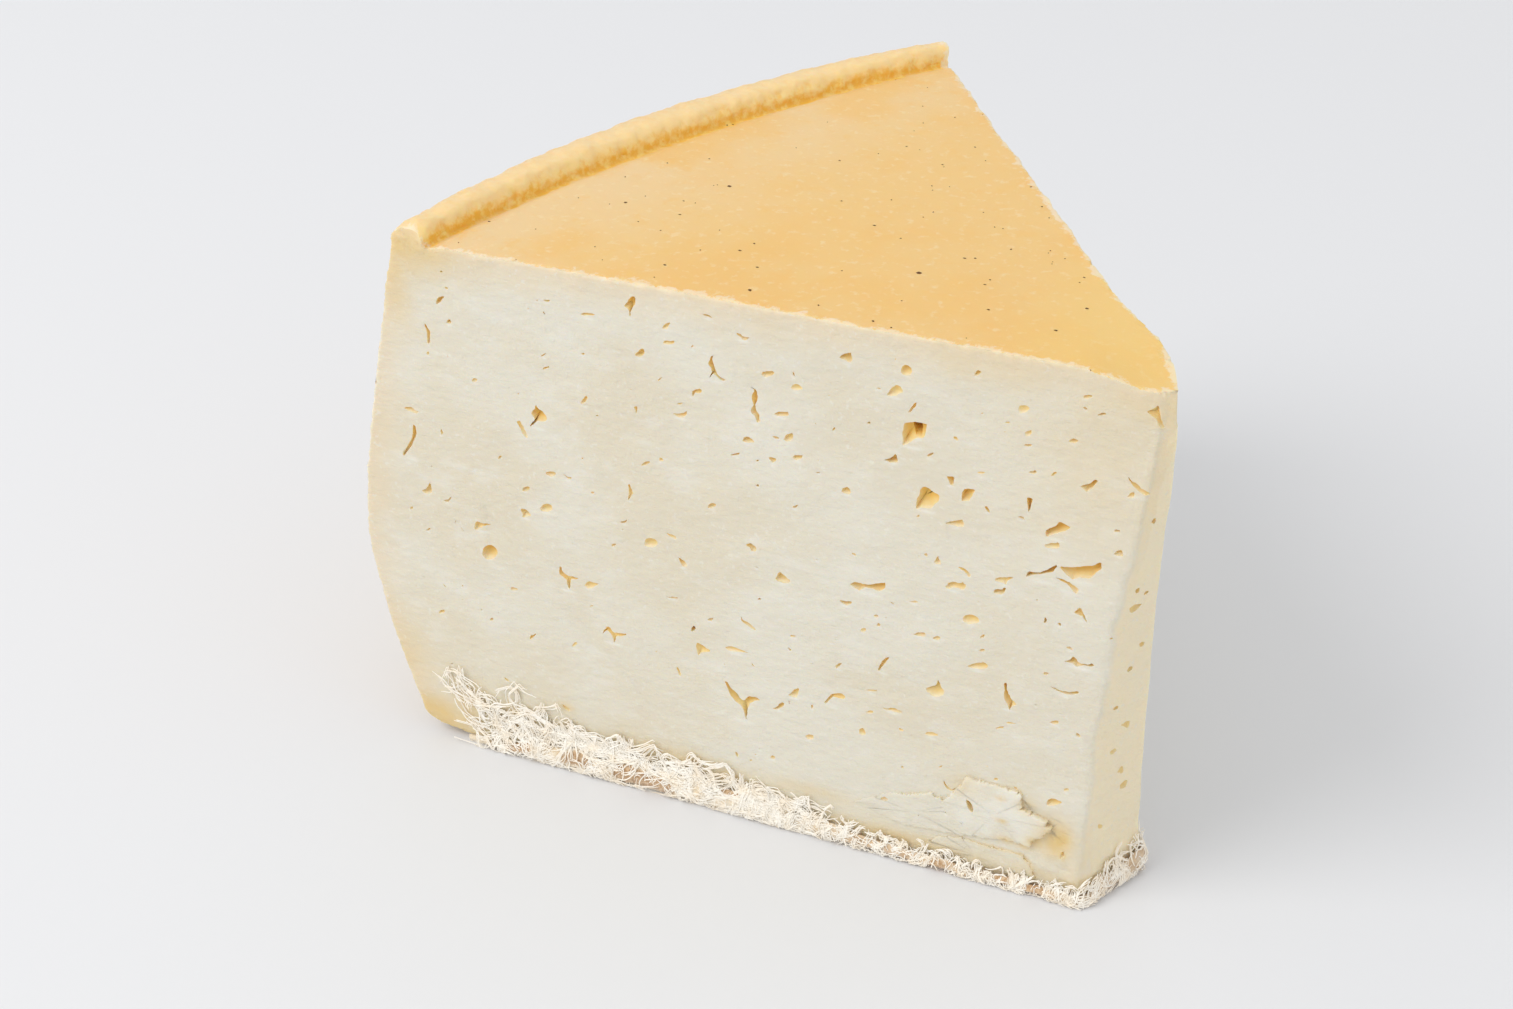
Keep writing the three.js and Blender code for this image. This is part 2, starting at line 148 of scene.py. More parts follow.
# Where its inner wall starts and ends, as shares of its width.
WALL_START, WALL_END = (0.55, 0.85), (1.1, 1.4)
GROOVE_DEPTH = 0.5
GROOVE_SLOPE = 0.35
FLATTENING = 2.8
FLATTENED_ARC = 128.0
POINT_DROP = 1.7
POINT_DROP_REACH = (15.0, 3.0)
SLICE_ARC = (-5.0, 140.0)
SLICE_COLUMNS = 240
BASE_STEPS, SIDE_STEPS, RIM_STEPS, TOP_STEPS = 16, 100, 45, 117
# Gentle waves: how high and how wide.
SIDE_WAVE, RIM_WAVE, TOP_WAVE = (0.5, 11.0), (0.4, 2.6), (0.3, 19.0)
# Roughness in layers: how deep, how large its lumps are and how finely divided.
SIDE_GRAIN = [(0.22, 3.2, 3), (0.1, 1.1, 3)]
WALL_GRAIN = [(0.2, 1.2, 2), (0.2, 3.0, 2)]
RIM_GRAIN = [(0.16, 1.3, 3)]
TOP_GRAIN = [(0.08, 5.0, 3)]
# How much calmer the rim is at the broad cut, and where that ends behind it.
RIM_CALM, CALM_END = 0.85, 5.0


def curve_through(points, count):
    """A smooth line through the points, as count points evenly spaced between them."""
    points = np.array(points, float)
    padded = np.vstack([points[:1], points, points[-1:]])
    at = np.linspace(0, len(points) - 1, count)
    first = np.minimum(at.astype(int), len(points) - 2)
    t = (at - first)[:, None]
    a, b, c, d = (padded[first + step] for step in range(4))
    return 0.5 * (2 * b + (c - a) * t + (2 * a - 5 * b + 4 * c - d) * t**2 + (3 * b - a - 3 * c + d) * t**3)


def smoothstep(x, low, high):
    """0 below low, 1 above high, with a soft change between. Low may be the higher."""
    t = np.clip((x - low) / (high - low), 0, 1)
    return t * t * (3 - 2 * t)


def uneven(x, y, z, size):
    """A gentle, repeatable unevenness between about -1 and 1."""
    coarse = np.sin(x / size + 1.3) * np.cos(y / size - 0.4) + np.sin(z / size + 2.1)
    fine = np.sin((x + z) / (size * 0.43) + 0.7) * np.cos((y - z) / (size * 0.37))
    return 0.35 * coarse + 0.3 * fine


def grain(points, size, fineness):
    """A natural roughness between about -1 and 1 whose largest lumps are of that size."""
    return np.array([noise.fractal(Vector(p), 1.0, 2.0, fineness) for p in np.asarray(points) / size])


def grains(points, layers, onto=0.0):
    """The roughness of all the layers at each point, added onto what is there."""
    return sum((depth * grain(points, size, fineness) for depth, size, fineness in layers), onto)


def side_line():
    """The side's section as (radius, height), from its foot up to the rim."""
    return curve_through([(FOOT_RADIUS, BASE), *SIDE, (RIM_RADIUS, TOP)], SIDE_STEPS)


def wheel_section():
    """Half the wheel's section as (radius, height): base, side, rim and top."""
    base_radii = np.linspace(INNER_RADIUS, FOOT_RADIUS - 1, BASE_STEPS)
    base = np.column_stack([base_radii, np.full(BASE_STEPS, BASE)])
    rim_points = [(RIM_RADIUS - across * RIM_END_WIDTH, TOP + up * RIM_HEIGHT) for across, up in RIM_SECTION]
    groove = RIM_RADIUS - RIM_END_WIDTH
    rim_points += [(groove, TOP - GROOVE_DEPTH), (groove - GROOVE_SLOPE * RIM_END_WIDTH, TOP)]
    rim = curve_through([(RIM_RADIUS, TOP), *rim_points], RIM_STEPS + 1)[1:]
    top_radii = np.linspace(rim[-1][0], INNER_RADIUS, TOP_STEPS + 1)[1:]
    top = np.column_stack([top_radii, np.full(TOP_STEPS, TOP)])
    return np.vstack([base, side_line(), rim, top])


def between_cuts(arc):
    """1 halfway between the two long cuts, round the wheel, and 0 at both of them."""
    across = np.clip(arc / FLATTENED_ARC, 0, 1)
    return 4 * across * (1 - across)


def inwards(radius, arc):
    """How far the side is flattened between the cuts, with how much wider the rim is there."""
    across_rim = np.clip((RIM_RADIUS - radius) / RIM_END_WIDTH, 0, 1)
    fade = np.minimum(1, radius / (RIM_RADIUS - RIM_END_WIDTH))
    return between_cuts(arc) * fade * (FLATTENING + across_rim * (RIM_WIDTH - RIM_END_WIDTH))


def skin(rings):
    """The points and faces of a closed skin over equal rings of points."""
    rings = np.asarray(rings, float)
    rows, count = rings.shape[:2]
    points = rings.reshape(-1, 3)
    here = np.arange(count)
    after = (here + 1) % count
    faces = []
    for row in range(rows - 1):
        low, high = row * count, (row + 1) * count
        faces += np.column_stack([low + here, high + here, high + after, low + after]).tolist()
    middle = points.mean(0)
    corners = points[np.array(faces)] - middle
    outwards = np.cross(corners[:, 1] - corners[:, 0], corners[:, 3] - corners[:, 0])
    faces += [here.tolist(), ((rows - 1) * count + here[::-1]).tolist()]
    if (outwards * corners.mean(1)).sum() < 0:
        faces = [face[::-1] for face in faces]
    return points, faces


def mesh_object(name, points, faces):
    """A mesh object at the part's origin, its points given from the sharp point."""
    mesh = bpy.data.meshes.new(name)
    mesh.from_pydata((np.asarray(points) + SHARP_POINT) * MM, [], faces)
    return made_object(name, mesh)


def wheel_slice():
    """The slice of the wheel round the wedge, with the unevenness of its rind."""
    section = wheel_section()
    arcs = np.linspace(*SLICE_ARC, SLICE_COLUMNS)
    radius, arc = np.meshgrid(section[:, 0], arcs)
    z = np.broadcast_to(section[:, 1], radius.shape).copy()
    angle = math.pi - arc / RIM_RADIUS
    x, y = radius * np.cos(angle), radius * np.sin(angle)
    spots = np.stack([x, y, z], -1).reshape(-1, 3)

    def rough(layers):
        return grains(spots, layers).reshape(x.shape)

    def waves(heights, wave):
        return wave[0] * uneven(x, y, heights, wave[1])

    on_side = (z > BASE + 0.3) & (z < TOP) & (radius > FOOT_RADIUS)
    on_rim = z > TOP
    inside_rim = (radius < RIM_RADIUS - RIM_END_WIDTH + 1) & (z < TOP + 1) & (z > TOP - RIM_HEIGHT)
    wall = smoothstep(RIM_RADIUS - radius, *np.multiply(WALL_START, RIM_END_WIDTH))
    wall *= 1 - smoothstep(RIM_RADIUS - radius, *np.multiply(WALL_END, RIM_END_WIDTH))
    out = waves(z, SIDE_WAVE) * on_side + rough(SIDE_GRAIN) * (on_side | on_rim)
    out += wall * on_rim * rough(WALL_GRAIN)
    scale = 1 + (out - inwards(radius, arc)) / radius
    liveliness = 1 - RIM_CALM * (1 - smoothstep(y, 0, CALM_END))
    z = np.where(on_rim, TOP + (z - TOP + waves(0 * x, RIM_WAVE) + rough(RIM_GRAIN)) * liveliness, z)
    z = np.where(inside_rim & ~on_rim, z + waves(0 * x, TOP_WAVE) + rough(TOP_GRAIN), z)
    x, y = x * scale + WHEEL_AXIS[0], y * scale + WHEEL_AXIS[1]
    z = z - POINT_DROP * smoothstep(np.hypot(x, y), *POINT_DROP_REACH) * (z > BASE + 1)
    return mesh_object("wheel", *skin(np.stack([x, y, z], -1)))


# ---- The knife cuts ----------------------------------------------------------
# Two long cuts make the wedge, and a narrow third one takes its point off. The
# far one leans out at its foot. The wire leaves slight waves and drag marks.

FAR_START = np.array([1.1, 0.0])
FAR_TURN = math.radians(55.3)
FAR_LEAN = 4.2
FAR_DIRECTION = np.array([-math.cos(FAR_TURN), math.sin(FAR_TURN)])
FAR_NORMAL = np.array([FAR_DIRECTION[1], -FAR_DIRECTION[0]])
# How far the far cut swells just behind the sharp point, from which height up, and
# where along the cut the swelling starts and ends.
FAR_SWELL = 1.6
SWELL_HEIGHTS = (60.0, 88.0)
SWELL_START, SWELL_END = (0.0, 9.0), (30.0, 12.0)
# How far along the broad and along the far cut the narrow cut's edges lie, by height.
TIP_HEIGHTS = [10, 30, 50, 70, 84, 95]
TIP_NEAR = [7.9, 7.3, 5.8, 3.4, 1.8, 1.9]
TIP_FAR = [11.8, 9.9, 8, 4.7, 1.8, 1.8]
CUT_LENGTH = 165.0
NEAR_COLUMNS = 250
TIP_COLUMNS = 16
FAR_COLUMNS = 165
LEVELS = 160
CUT_WAVE = 9.0
CUT_RELIEF = 0.22
FAR_WAVE_PLACE = 180.0
CUT_GRAIN = [(0.09, 7.0, 3), (0.03, 1.2, 2)]
TIP_GRAIN = [(0.4, 8.0, 3), (0.22, 2.2, 3)]
# The wander of the corner between the broad and the narrow cut: how far to the side,
# a starting place and how long its waves are.
CORNER_WANDER = [(0.5, 3.0, 7), (0.25, 8.0, 2)]
# Where the foot of the broad cut has crumbled: distance along, height and reaches.
CRUMBLED = (13.5, 5.0, 7.0, 3.5)
CRUMBLED_GRAIN = [(0.45, 3.2, 2), (0.35, 1.3, 2)]
# The wire dragged a shallow hollow below this line of x and height. It fades out
# further down.
DRAG_LINE = [(-112, 50), (-105, 41), (-97, 33), (-85, 20), (-79, 13)]
DRAG_DEPTH = 0.22
DRAG_START, DRAG_FADE = (-0.5, 0.5), (2.0, 14.0)
# How far below the top a cut tears, and how raggedly.
TORN_FROM, TORN_FULLY = 2.2, 0.3
TORN_GRAIN = [(0.42, 1.5, 3), (0.3, 5.0, 2)]
TIP_TORN_SHARE = 0.4


def on_near(along, z, proud=0.0):
    """Points of the broad cut: how far along it, how high and how far they stand proud."""
    along, z, proud = np.broadcast_arrays(along, z, proud)
    return np.stack([-along, -proud, z], -1).astype(float)


def on_far(along, z, proud=0.0):
    """Points of the far cut, placed in the same way."""
    along, z, proud = np.broadcast_arrays(along, z, proud)
    plan = FAR_START + np.multiply.outer(along, FAR_DIRECTION)
    plan = plan + np.multiply.outer(proud + FAR_LEAN * (1 - z / TOP), FAR_NORMAL)
    return np.concatenate([plan, z[..., None].astype(float)], -1)


def tip_edges(z):
    """How far along the broad and along the far cut the narrow cut's edges lie."""
    return np.interp(z, TIP_HEIGHTS, TIP_NEAR), np.interp(z, TIP_HEIGHTS, TIP_FAR)


def far_swell(along, z):
    """How far the far cut swells out behind the sharp point."""
    swell = FAR_SWELL * smoothstep(z, *SWELL_HEIGHTS)
    return swell * smoothstep(along, *SWELL_START) * smoothstep(along, *SWELL_END)


def oval(along, z, middle, height, reach_along, reach_up):
    """1 in the middle of an oval patch of a cut, fading to 0 round it."""
    return np.exp(-(((along - middle) / reach_along) ** 2 + ((z - height) / reach_up) ** 2))


def torn_edge(points, z):
    """How ragged a cut is close to the rind, where it tears rather than slices."""
    return smoothstep(z, TOP - TORN_FROM, TOP - TORN_FULLY) * grains(points, TORN_GRAIN)


def near_row(near_edge, z):
    """The broad cut at one height, from the wheel's side to the narrow cut."""
    along = np.linspace(CUT_LENGTH, near_edge, NEAR_COLUMNS, endpoint=False)
    flat = on_near(along, z)
    below = np.interp(-along, *zip(*DRAG_LINE)) - z
    drag = DRAG_DEPTH * smoothstep(below, *DRAG_START) * (1 - smoothstep(below, *DRAG_FADE))
    drag *= (-along > DRAG_LINE[0][0]) & (-along < DRAG_LINE[-1][0])
    proud = grains(flat, CUT_GRAIN, CUT_RELIEF * uneven(along, 0 * along, z, CUT_WAVE))
    proud = proud + oval(along, z, *CRUMBLED) * grains(flat, CRUMBLED_GRAIN)
    return on_near(along, z, proud + torn_edge(flat, z) - drag)


def tip_row(near_edge, far_edge, z):
    """The narrow cut at one height, from the broad to the far cut."""
    near_corner, far_corner = on_near(near_edge, z), on_far(far_edge, z, far_swell(far_edge, z))
    share = np.linspace(0, 1, TIP_COLUMNS, endpoint=False)[:, None]
    tip = near_corner * (1 - share) + far_corner * share
    across = np.append(far_corner[:2] - near_corner[:2], 0)
    facing = np.array([across[1], -across[0], 0]) / np.linalg.norm(across)
    return tip + np.multiply.outer(grains(tip, TIP_GRAIN) + TIP_TORN_SHARE * torn_edge(tip, z), facing)


def far_row(far_edge, z):
    """The far cut at one height, from the narrow cut to the wheel's side."""
    along = np.linspace(far_edge, CUT_LENGTH, FAR_COLUMNS)
    flat = on_far(along, z)
    waves = CUT_RELIEF * uneven(along, FAR_WAVE_PLACE + 0 * along, z, CUT_WAVE)
    proud = grains(flat, CUT_GRAIN[:1], waves) + far_swell(along, z)
    return on_far(along, z, proud + torn_edge(flat, z))


def knife_wedge():
    """The space between the three cuts, as one closed skin from below the base to over the rim."""
    rings = []
    for z in np.linspace(-1, TOP + RIM_HEIGHT + 4, LEVELS):
        near_edge, far_edge = tip_edges(z)
        wander = [side * noise.noise(Vector((start, 0, z / long))) for side, start, long in CORNER_WANDER]
        near_edge += sum(wander)
        rows = [near_row(near_edge, z), tip_row(near_edge, far_edge, z), far_row(far_edge, z)]
        rings.append(np.concatenate(rows))
    return mesh_object("knife", *skin(rings))


def carve(body, tool, operation):
    """Cuts the tool out of the body, joins it on, or keeps what both share."""
    modifier = body.modifiers.new("carve", "BOOLEAN")
    modifier.operation = operation
    modifier.solver = "MANIFOLD"
    modifier.object = tool
    carved = bpy.data.meshes.new_from_object(body.evaluated_get(bpy.context.evaluated_depsgraph_get()))
    body.modifiers.clear()
    body.data = carved
    bpy.data.objects.remove(tool)


def shade_smooth(body, sharp_angle):
    """Shades the faces as one smooth surface, apart from edges sharper than that."""
    body.data.polygons.foreach_set("use_smooth", [True] * len(body.data.polygons))
    body.data.set_sharp_from_angle(angle=sharp_angle)


# ---- The openings in the paste ----------------------------------------------
# Small mechanical openings that the curd leaves where its grains don't knit:
# torn three-cornered gaps, eyes, flat lenses and cracks. Each is a hollow that
# runs a little way in from the cut. Thin flakes stand off the cut near its foot.

# Every opening that stands out on the broad cut, drawn by its outline: how deep it
# goes, then for each corner its distance from the sharp point and its height.
DRAWN_OPENINGS = [
    (0.6, 28.9, 90.1, 28.5, 90.6, 28.4, 91, 27.5, 90.9, 28, 90.4, 28.4, 90),
    (0.35, 22.1, 86, 21.9, 86.7, 20.9, 87, 20.1, 86.7, 20.6, 86, 21.3, 85.4, 21.9, 85.5),
    (0.35, 21, 82.2, 20.6, 82.8, 19.9, 83.2, 19.6, 82.9, 20.1, 82.2, 20.7, 81.9),
    (0.5, 21.1, 80.4, 20.5, 80.7, 19.5, 80.9, 19.8, 80.5, 20.5, 80.2),
    (0.5, 14.5, 82.4, 14, 83, 13.4, 83.1, 12.7, 82.9, 13.2, 82.5, 14, 82.3),
    (0.4, 12.9, 89.9, 12.6, 90.3, 11.8, 90.6, 11.2, 90.4, 11.7, 90, 12.4, 89.8),
    (0.35, 10.6, 87.5, 10.1, 88, 9.2, 88.3, 9.1, 88, 9.9, 87.6),
    (0.9, 12.4, 75.7, 11.5, 76, 10.8, 76.4, 10.2, 77.2, 9.6, 77.2, 10, 76.5, 10.4, 75.9, 11.2, 74.8, 11.6,
     75.3),
    (0.5, 20.1, 76.1, 19.4, 76.5, 19.1, 76.9, 18.6, 76.4, 19.2, 76),
    (0.35, 16.8, 76.3, 16.3, 77, 15.8, 77.3, 16, 76.7, 16.5, 76.2),
    (0.3, 27.8, 83.9, 27.3, 84.4, 27, 84.4, 27.5, 83.9),
    (0.3, 28.1, 74.2, 27.4, 74.6, 26.4, 74.8, 26.5, 74.3, 27.3, 74),
    (0.5, 5.4, 78.9, 5, 78.2, 4, 77.9, 3.4, 77.3, 2.5, 77, 1.8, 76.3, 1.6, 75.6, 2.4, 76.3, 3.6, 76.6, 4.6,
     77.4, 5.3, 78.2),
    (0.35, 5.4, 75.3, 5, 76.2, 4.4, 76.6, 4.2, 75.9, 4.6, 75.3),
    (0.6, 3.6, 89.7, 2.6, 90.2, 1.9, 91, 1.5, 89, 0.7, 87, 1.3, 87, 2.1, 88.8),
    (0.8, 49.5, 88.8, 48.6, 89.6, 47.5, 90.1, 47.3, 88.8, 47.6, 88.2, 48.2, 88.6),
    (0.8, 39.9, 88.3, 39.8, 89.2, 39.2, 89.7, 38.4, 89.5, 38, 88.8, 38.3, 88.1, 39, 87.8, 39.6, 87.9),
    (0.5, 42, 84.1, 41.5, 85.1, 40.9, 85.9, 40.2, 86.3, 39.5, 85.8, 39.3, 85.1, 40.1, 84.8, 40.7, 84.2),
    (0.5, 38.7, 81.9, 38, 83.2, 37.3, 84.1, 37.2, 83.7, 37.9, 82.5, 38.3, 81.9),
    (1.3, 39.2, 80.1, 37.5, 80.7, 35.6, 80.6, 35.8, 79.2, 36, 78.2, 37.3, 77.9, 37.9, 77.3, 38.4, 76.9,
     39.3, 76.3, 39.4, 78.5),
    (4.2, 38, 79.9, 37.1, 80.6, 36.6, 80.6, 36.3, 79.2, 36.4, 78.3, 37.4, 78.1, 37.9, 79.1),
    (0.4, 57.2, 82.2, 56.9, 82.9, 56.2, 83.2, 55.4, 82.9, 55.1, 82.4, 55.9, 82, 56.7, 81.8),
    (0.5, 59.9, 77.3, 59.4, 77.7, 58.3, 78, 57.5, 78.2, 57.4, 77.5, 58.2, 77.3, 59.3, 77.1),
    (0.5, 58.3, 73.3, 57.8, 74.3, 57.2, 74.5, 56.8, 74.9, 56.7, 74, 57.1, 73.2, 57.8, 73),
    (0.35, 60.2, 73.5, 59.4, 73.6, 58.8, 73.3, 59.6, 73.1),
    (1, 42.3, 73.3, 41, 73.9, 40.4, 74.9, 40.1, 74.2, 39.9, 73.4, 41.2, 73.1),
    (0.5, 35.7, 75.4, 35.2, 75.9, 34.4, 76.3, 34.6, 75.8, 35.2, 75.2),
    (0.5, 31.8, 79.5, 31, 79.6, 30.6, 79.1, 31, 78.8, 31.6, 79.1),
    (0.35, 56.9, 84.9, 56.6, 85.1, 56.2, 84.2, 56.5, 84.3),
    (0.55, 61.9, 83.4, 61.6, 84.1, 60.7, 84.4, 59.6, 84.5, 59.7, 84, 60.3, 83.6, 61.3, 83.2),
    (0.5, 45.1, 78.8, 44.7, 79.3, 44.2, 79.1, 44.5, 78.7),
    (0.3, 43.6, 84.9, 43.1, 85.3, 42.7, 85.1, 43.2, 84.7),
    (1, 84.5, 90.5, 83.7, 91.2, 83.2, 92.3, 82.4, 92.5, 82.3, 91.4, 82.8, 90.5, 83.2, 90, 83.2, 88.9, 83.6,
     88.8, 83.5, 89.9, 83.9, 90.3),
    (0.45, 78.2, 88, 77.5, 88.8, 76.6, 89.4, 76.8, 88.7, 77.2, 88, 77.8, 87.9),
    (0.55, 78.2, 85.4, 77.8, 86, 76.9, 86, 76, 86.3, 76, 85.8, 76.7, 85.4, 77.6, 85.3),
    (0.4, 71.3, 91.6, 70.6, 91.9, 69.6, 91.5, 69.7, 91.3, 70.5, 91.6),
    (0.45, 65.9, 89.5, 65.3, 89.8, 64.9, 89.3, 64.2, 89.3, 63.4, 89.4, 64, 88.9, 64.7, 88.6, 65, 89.1),
    (0.7, 69.5, 85.3, 69.9, 84.5, 69.6, 83.8, 69.3, 82.8, 69, 82.2, 68.4, 81.6, 67.5, 81.5, 68.1, 81.1,
     68.8, 81.4, 69.3, 82, 69.8, 82.1, 70.4, 81.1, 69.9, 82.3, 70, 83, 70.6, 83.6, 70.3, 84.3, 70, 84.9),
    (0.8, 83, 82.5, 82.3, 83.3, 81.6, 84, 81.1, 83.8, 81.2, 83.1, 81.8, 82.4, 82.5, 82.2),
    (0.3, 79.2, 78.9, 78.8, 79.5, 78.2, 79.7, 78.6, 79.3, 79.1, 78.6),
    (0.45, 73.4, 78.3, 72.8, 78.8, 71.7, 79.1, 71.7, 78.3, 72.2, 78.2, 72.9, 78.2, 73.2, 77.3, 73.4, 77.4),
    (0.5, 76.9, 73.7, 75.8, 73.9, 75, 74.2, 74.3, 74.8, 74.4, 74, 75, 73.3, 75.8, 73.2),
    (0.3, 76.3, 75.4, 75.5, 75.9, 74.8, 76, 75.4, 75.6),
    (0.7, 63.8, 81.1, 62.7, 80.8, 62.5, 80, 62.5, 79, 62.9, 78.3, 62.8, 77.4, 62.2, 76.6, 62.2, 75.9, 61.8,
     75.6, 62.7, 75.2, 62.9, 76.3, 63.7, 76.7, 63.6, 77.4, 63.1, 78.1, 63.4, 79, 63.5, 79.8, 63, 80.3, 63,
     80.7),
    (0.35, 83.6, 73.4, 83, 73.8, 82.7, 73.7, 83, 72.4, 83.2, 72.4, 83.2, 73.3),
    (0.6, 65.3, 71.5, 64.8, 72.2, 64.2, 72.6, 63.4, 72.2, 63, 71.7, 63.7, 71.6, 64.5, 71.4),
    (0.4, 67.4, 68.6, 66.4, 69, 65.6, 69.5, 65.5, 69.2, 66.2, 68.8, 67, 68.5),
    (0.5, 60.9, 69.6, 60.3, 69.9, 59.9, 69.7, 59.4, 69.8, 59.6, 69.2, 60.2, 68.8, 60.6, 69.2),
    (0.55, 56.9, 70.5, 56.5, 71, 55.6, 71.1, 55.1, 71.3, 55.3, 70.7, 56, 70.2, 56.7, 70.1),
    (0.3, 63, 68.5, 62.6, 68.9, 62.3, 68.9, 62.7, 68.4),
    (0.7, 117.6, 84.7, 117.1, 85.8, 116.5, 86.1, 115.7, 86.4, 116.1, 85.8, 116.6, 85.1, 117.2, 84.5),
    (0.7, 115.9, 81.7, 115.6, 82.3, 115.1, 82.6, 114.8, 82, 115.3, 81.6),
    (0.5, 119.9, 81, 119.3, 80, 118.9, 79.5, 119.1, 78.5, 119.3, 77.2, 119.8, 77.3, 119.7, 78.6, 119.6,
     79.6, 120, 80.3),
    (0.3, 120.2, 75.2, 119.9, 76, 119.5, 75.9, 119.6, 75.2),
    (0.4, 98.3, 89.1, 97.8, 89, 96.8, 89.2, 97.2, 88.8, 98, 88.7),
    (0.4, 91.9, 87.8, 91.2, 88.1, 89.3, 88.3, 89.3, 88, 90.6, 87.8, 91.4, 87.5),
    (0.5, 92.3, 80.9, 91.8, 81.2, 91.3, 81.1, 91.6, 80.7, 92.1, 80.7),
    (0.35, 99.4, 79.1, 98.8, 79.6, 98.2, 79.9, 98.6, 79.4, 99.1, 79),
    (0.45, 99.4, 76.8, 98.7, 77.3, 97.7, 77.7, 98.2, 77.1, 98.9, 76.8),
    (0.45, 92.8, 72.2, 92.2, 73.2, 91.7, 73.9, 91.4, 73.7, 91.6, 72.9, 92.2, 72),
    (0.25, 112.2, 72.1, 111.7, 72.9, 111, 72.8, 111.1, 72.2),
    (1.2, 36.4, 69.9, 35.3, 70.3, 34.6, 69.7, 33.4, 69.3, 33.4, 68.2, 33.9, 67.7, 34.6, 66.6, 36.2, 66.4,
     37.1, 65.9, 37, 67.8, 36.5, 68.8),
    (0.6, 49, 66.3, 48.7, 67, 48, 67.5, 47.5, 67.1, 47.3, 66.3, 48.2, 66.1),
    (0.9, 32.5, 72.7, 31.2, 72.9, 31.3, 71.3, 31.8, 71.2, 32.1, 72.2),
    (1.1, 29.8, 70.9, 29, 71.4, 27.8, 71.4, 28.4, 70.2, 28.6, 69.3, 29.9, 68.9, 30, 69.9),
    (0.6, 32.5, 64.7, 31.6, 65.2, 30.4, 65.6, 29.7, 66, 29.3, 65.2, 29.5, 64.6, 31, 64.6),
    (1.1, 17, 67.2, 15.3, 68.4, 15.1, 69.1, 13.1, 68.6, 13.7, 68, 15.4, 67, 16.9, 66),
    (0.4, 17.2, 64.5, 16, 65.3, 14.7, 65.6, 14.7, 64.6, 16.4, 64.2),
    (0.4, 21.4, 68.4, 20.4, 68.7, 20, 68.1, 20.7, 68.3),
    (0.9, 20.1, 72, 19.1, 72, 19.3, 70.6, 19.7, 69.4, 19.8, 70.5),
    (0.6, 26.5, 68.9, 26, 69.1, 25.4, 68.1, 25.6, 67.9, 26.1, 68.5),
    (0.45, 7, 69.5, 6.5, 69.9, 5.8, 69.7, 6.2, 69.3),
    (0.5, 6.7, 65.6, 6.3, 66.3, 5.7, 66.7, 5.3, 66.3, 5.2, 65.6),
    (1, 19.6, 58.5, 19.2, 59.6, 17.4, 59.8, 16, 60.9, 15, 61.8, 14.8, 61.5, 15.5, 60.4, 16.8, 59.8, 18.4,
     59.2),
    (1.2, 14.6, 61.6, 12.4, 62, 10.9, 62.6, 9.7, 62.9, 8.4, 63.9, 8.2, 62.9, 9, 61.9, 9.9, 60.6, 11.5, 60.5,
     12.5, 59.8, 13.8, 60.8),
    (0.4, 15.2, 59.6, 13, 58.8, 11.8, 57.4, 11.3, 58.4, 12.4, 59, 13.6, 59.5),
    (0.9, 24.6, 54.6, 24, 55.3, 23.1, 55.3, 22.6, 56, 22.5, 55.3, 23.1, 54.4, 24, 54.3),
    (0.4, 24.4, 57, 23.5, 57.5, 21.3, 58, 22.3, 57.2, 22.6, 56.3, 23, 56.7, 24, 56.5),
    (0.5, 16.5, 51.2, 16.3, 52.4, 16, 52.4, 15.9, 51.3), (0.4, 14.4, 51.8, 13.6, 52, 13.8, 51.2),
    (0.45, 12, 54.2, 11, 55.5, 10.2, 54, 9.8, 53, 10.6, 53.9),
    (0.25, 37.9, 49.5, 37.1, 49.8, 36.2, 49.9, 36.8, 49.4),
    (0.4, 37.1, 43.7, 36.2, 44.3, 35.2, 44.6, 34.8, 44, 35.7, 43.7),
    (0.35, 33.9, 43.8, 33.4, 44.4, 32.6, 44.5, 32.3, 44.1, 33, 43.7),
    (0.5, 29.2, 48.5, 28.7, 49.4, 27.6, 49.7, 26.7, 49.4, 26.3, 48.8, 27, 48.3, 28, 47.9, 28.9, 48),
    (0.3, 26.3, 45.9, 25.9, 46.6, 25.4, 46.8, 25.6, 46.1, 26, 45.8),
    (0.35, 26.4, 43.4, 26, 44, 25.4, 44.1, 25.4, 43.7, 26, 43.4),
    (0.7, 13, 45.2, 12.1, 45.7, 11.5, 46.6, 11, 46, 10.6, 45.6, 9.4, 45.6, 8.7, 46.1, 8.2, 45.8, 8.8, 45.4,
     10.3, 45.3, 10.9, 44.7, 11.4, 45.2, 12.3, 45.2),
    (0.25, 12.9, 47.9, 12.2, 48.2, 11.6, 47.7, 12.2, 47.5),
    (0.55, 32.1, 53.4, 31.6, 54.4, 30.8, 54.9, 29.6, 54.8, 29.3, 55.3, 29, 54.7, 28.6, 54.8, 29.1, 53.7,
     29.9, 53.9, 30.6, 53.9, 31.4, 53.4),
    (0.3, 30.3, 57.6, 29.2, 57.7, 28.4, 57.2, 28, 56.4, 28.5, 56.2, 28.9, 57, 29.6, 57.3),
    (0.45, 34, 57.4, 33.6, 58.1, 33.4, 58.9, 33, 58, 32.7, 57.5, 33.4, 57.2),
    (0.3, 35.6, 58.5, 35.2, 58.9, 34.8, 58.6, 35.1, 58.1),
    (0.9, 47.6, 50.2, 46.6, 50.9, 45.3, 50.8, 43.9, 51, 42.9, 51.5, 41.6, 52, 41.6, 50.9, 42.6, 50.2, 43.7,
     50.3, 44.9, 50.3, 45.9, 49.4, 46.8, 49.9),
    (0.3, 6.5, 51, 6, 51.4, 5.6, 51.1, 6.1, 50.8), (0.3, 37, 64.7, 36.6, 65.3, 36.3, 65.2, 36.6, 64.5),
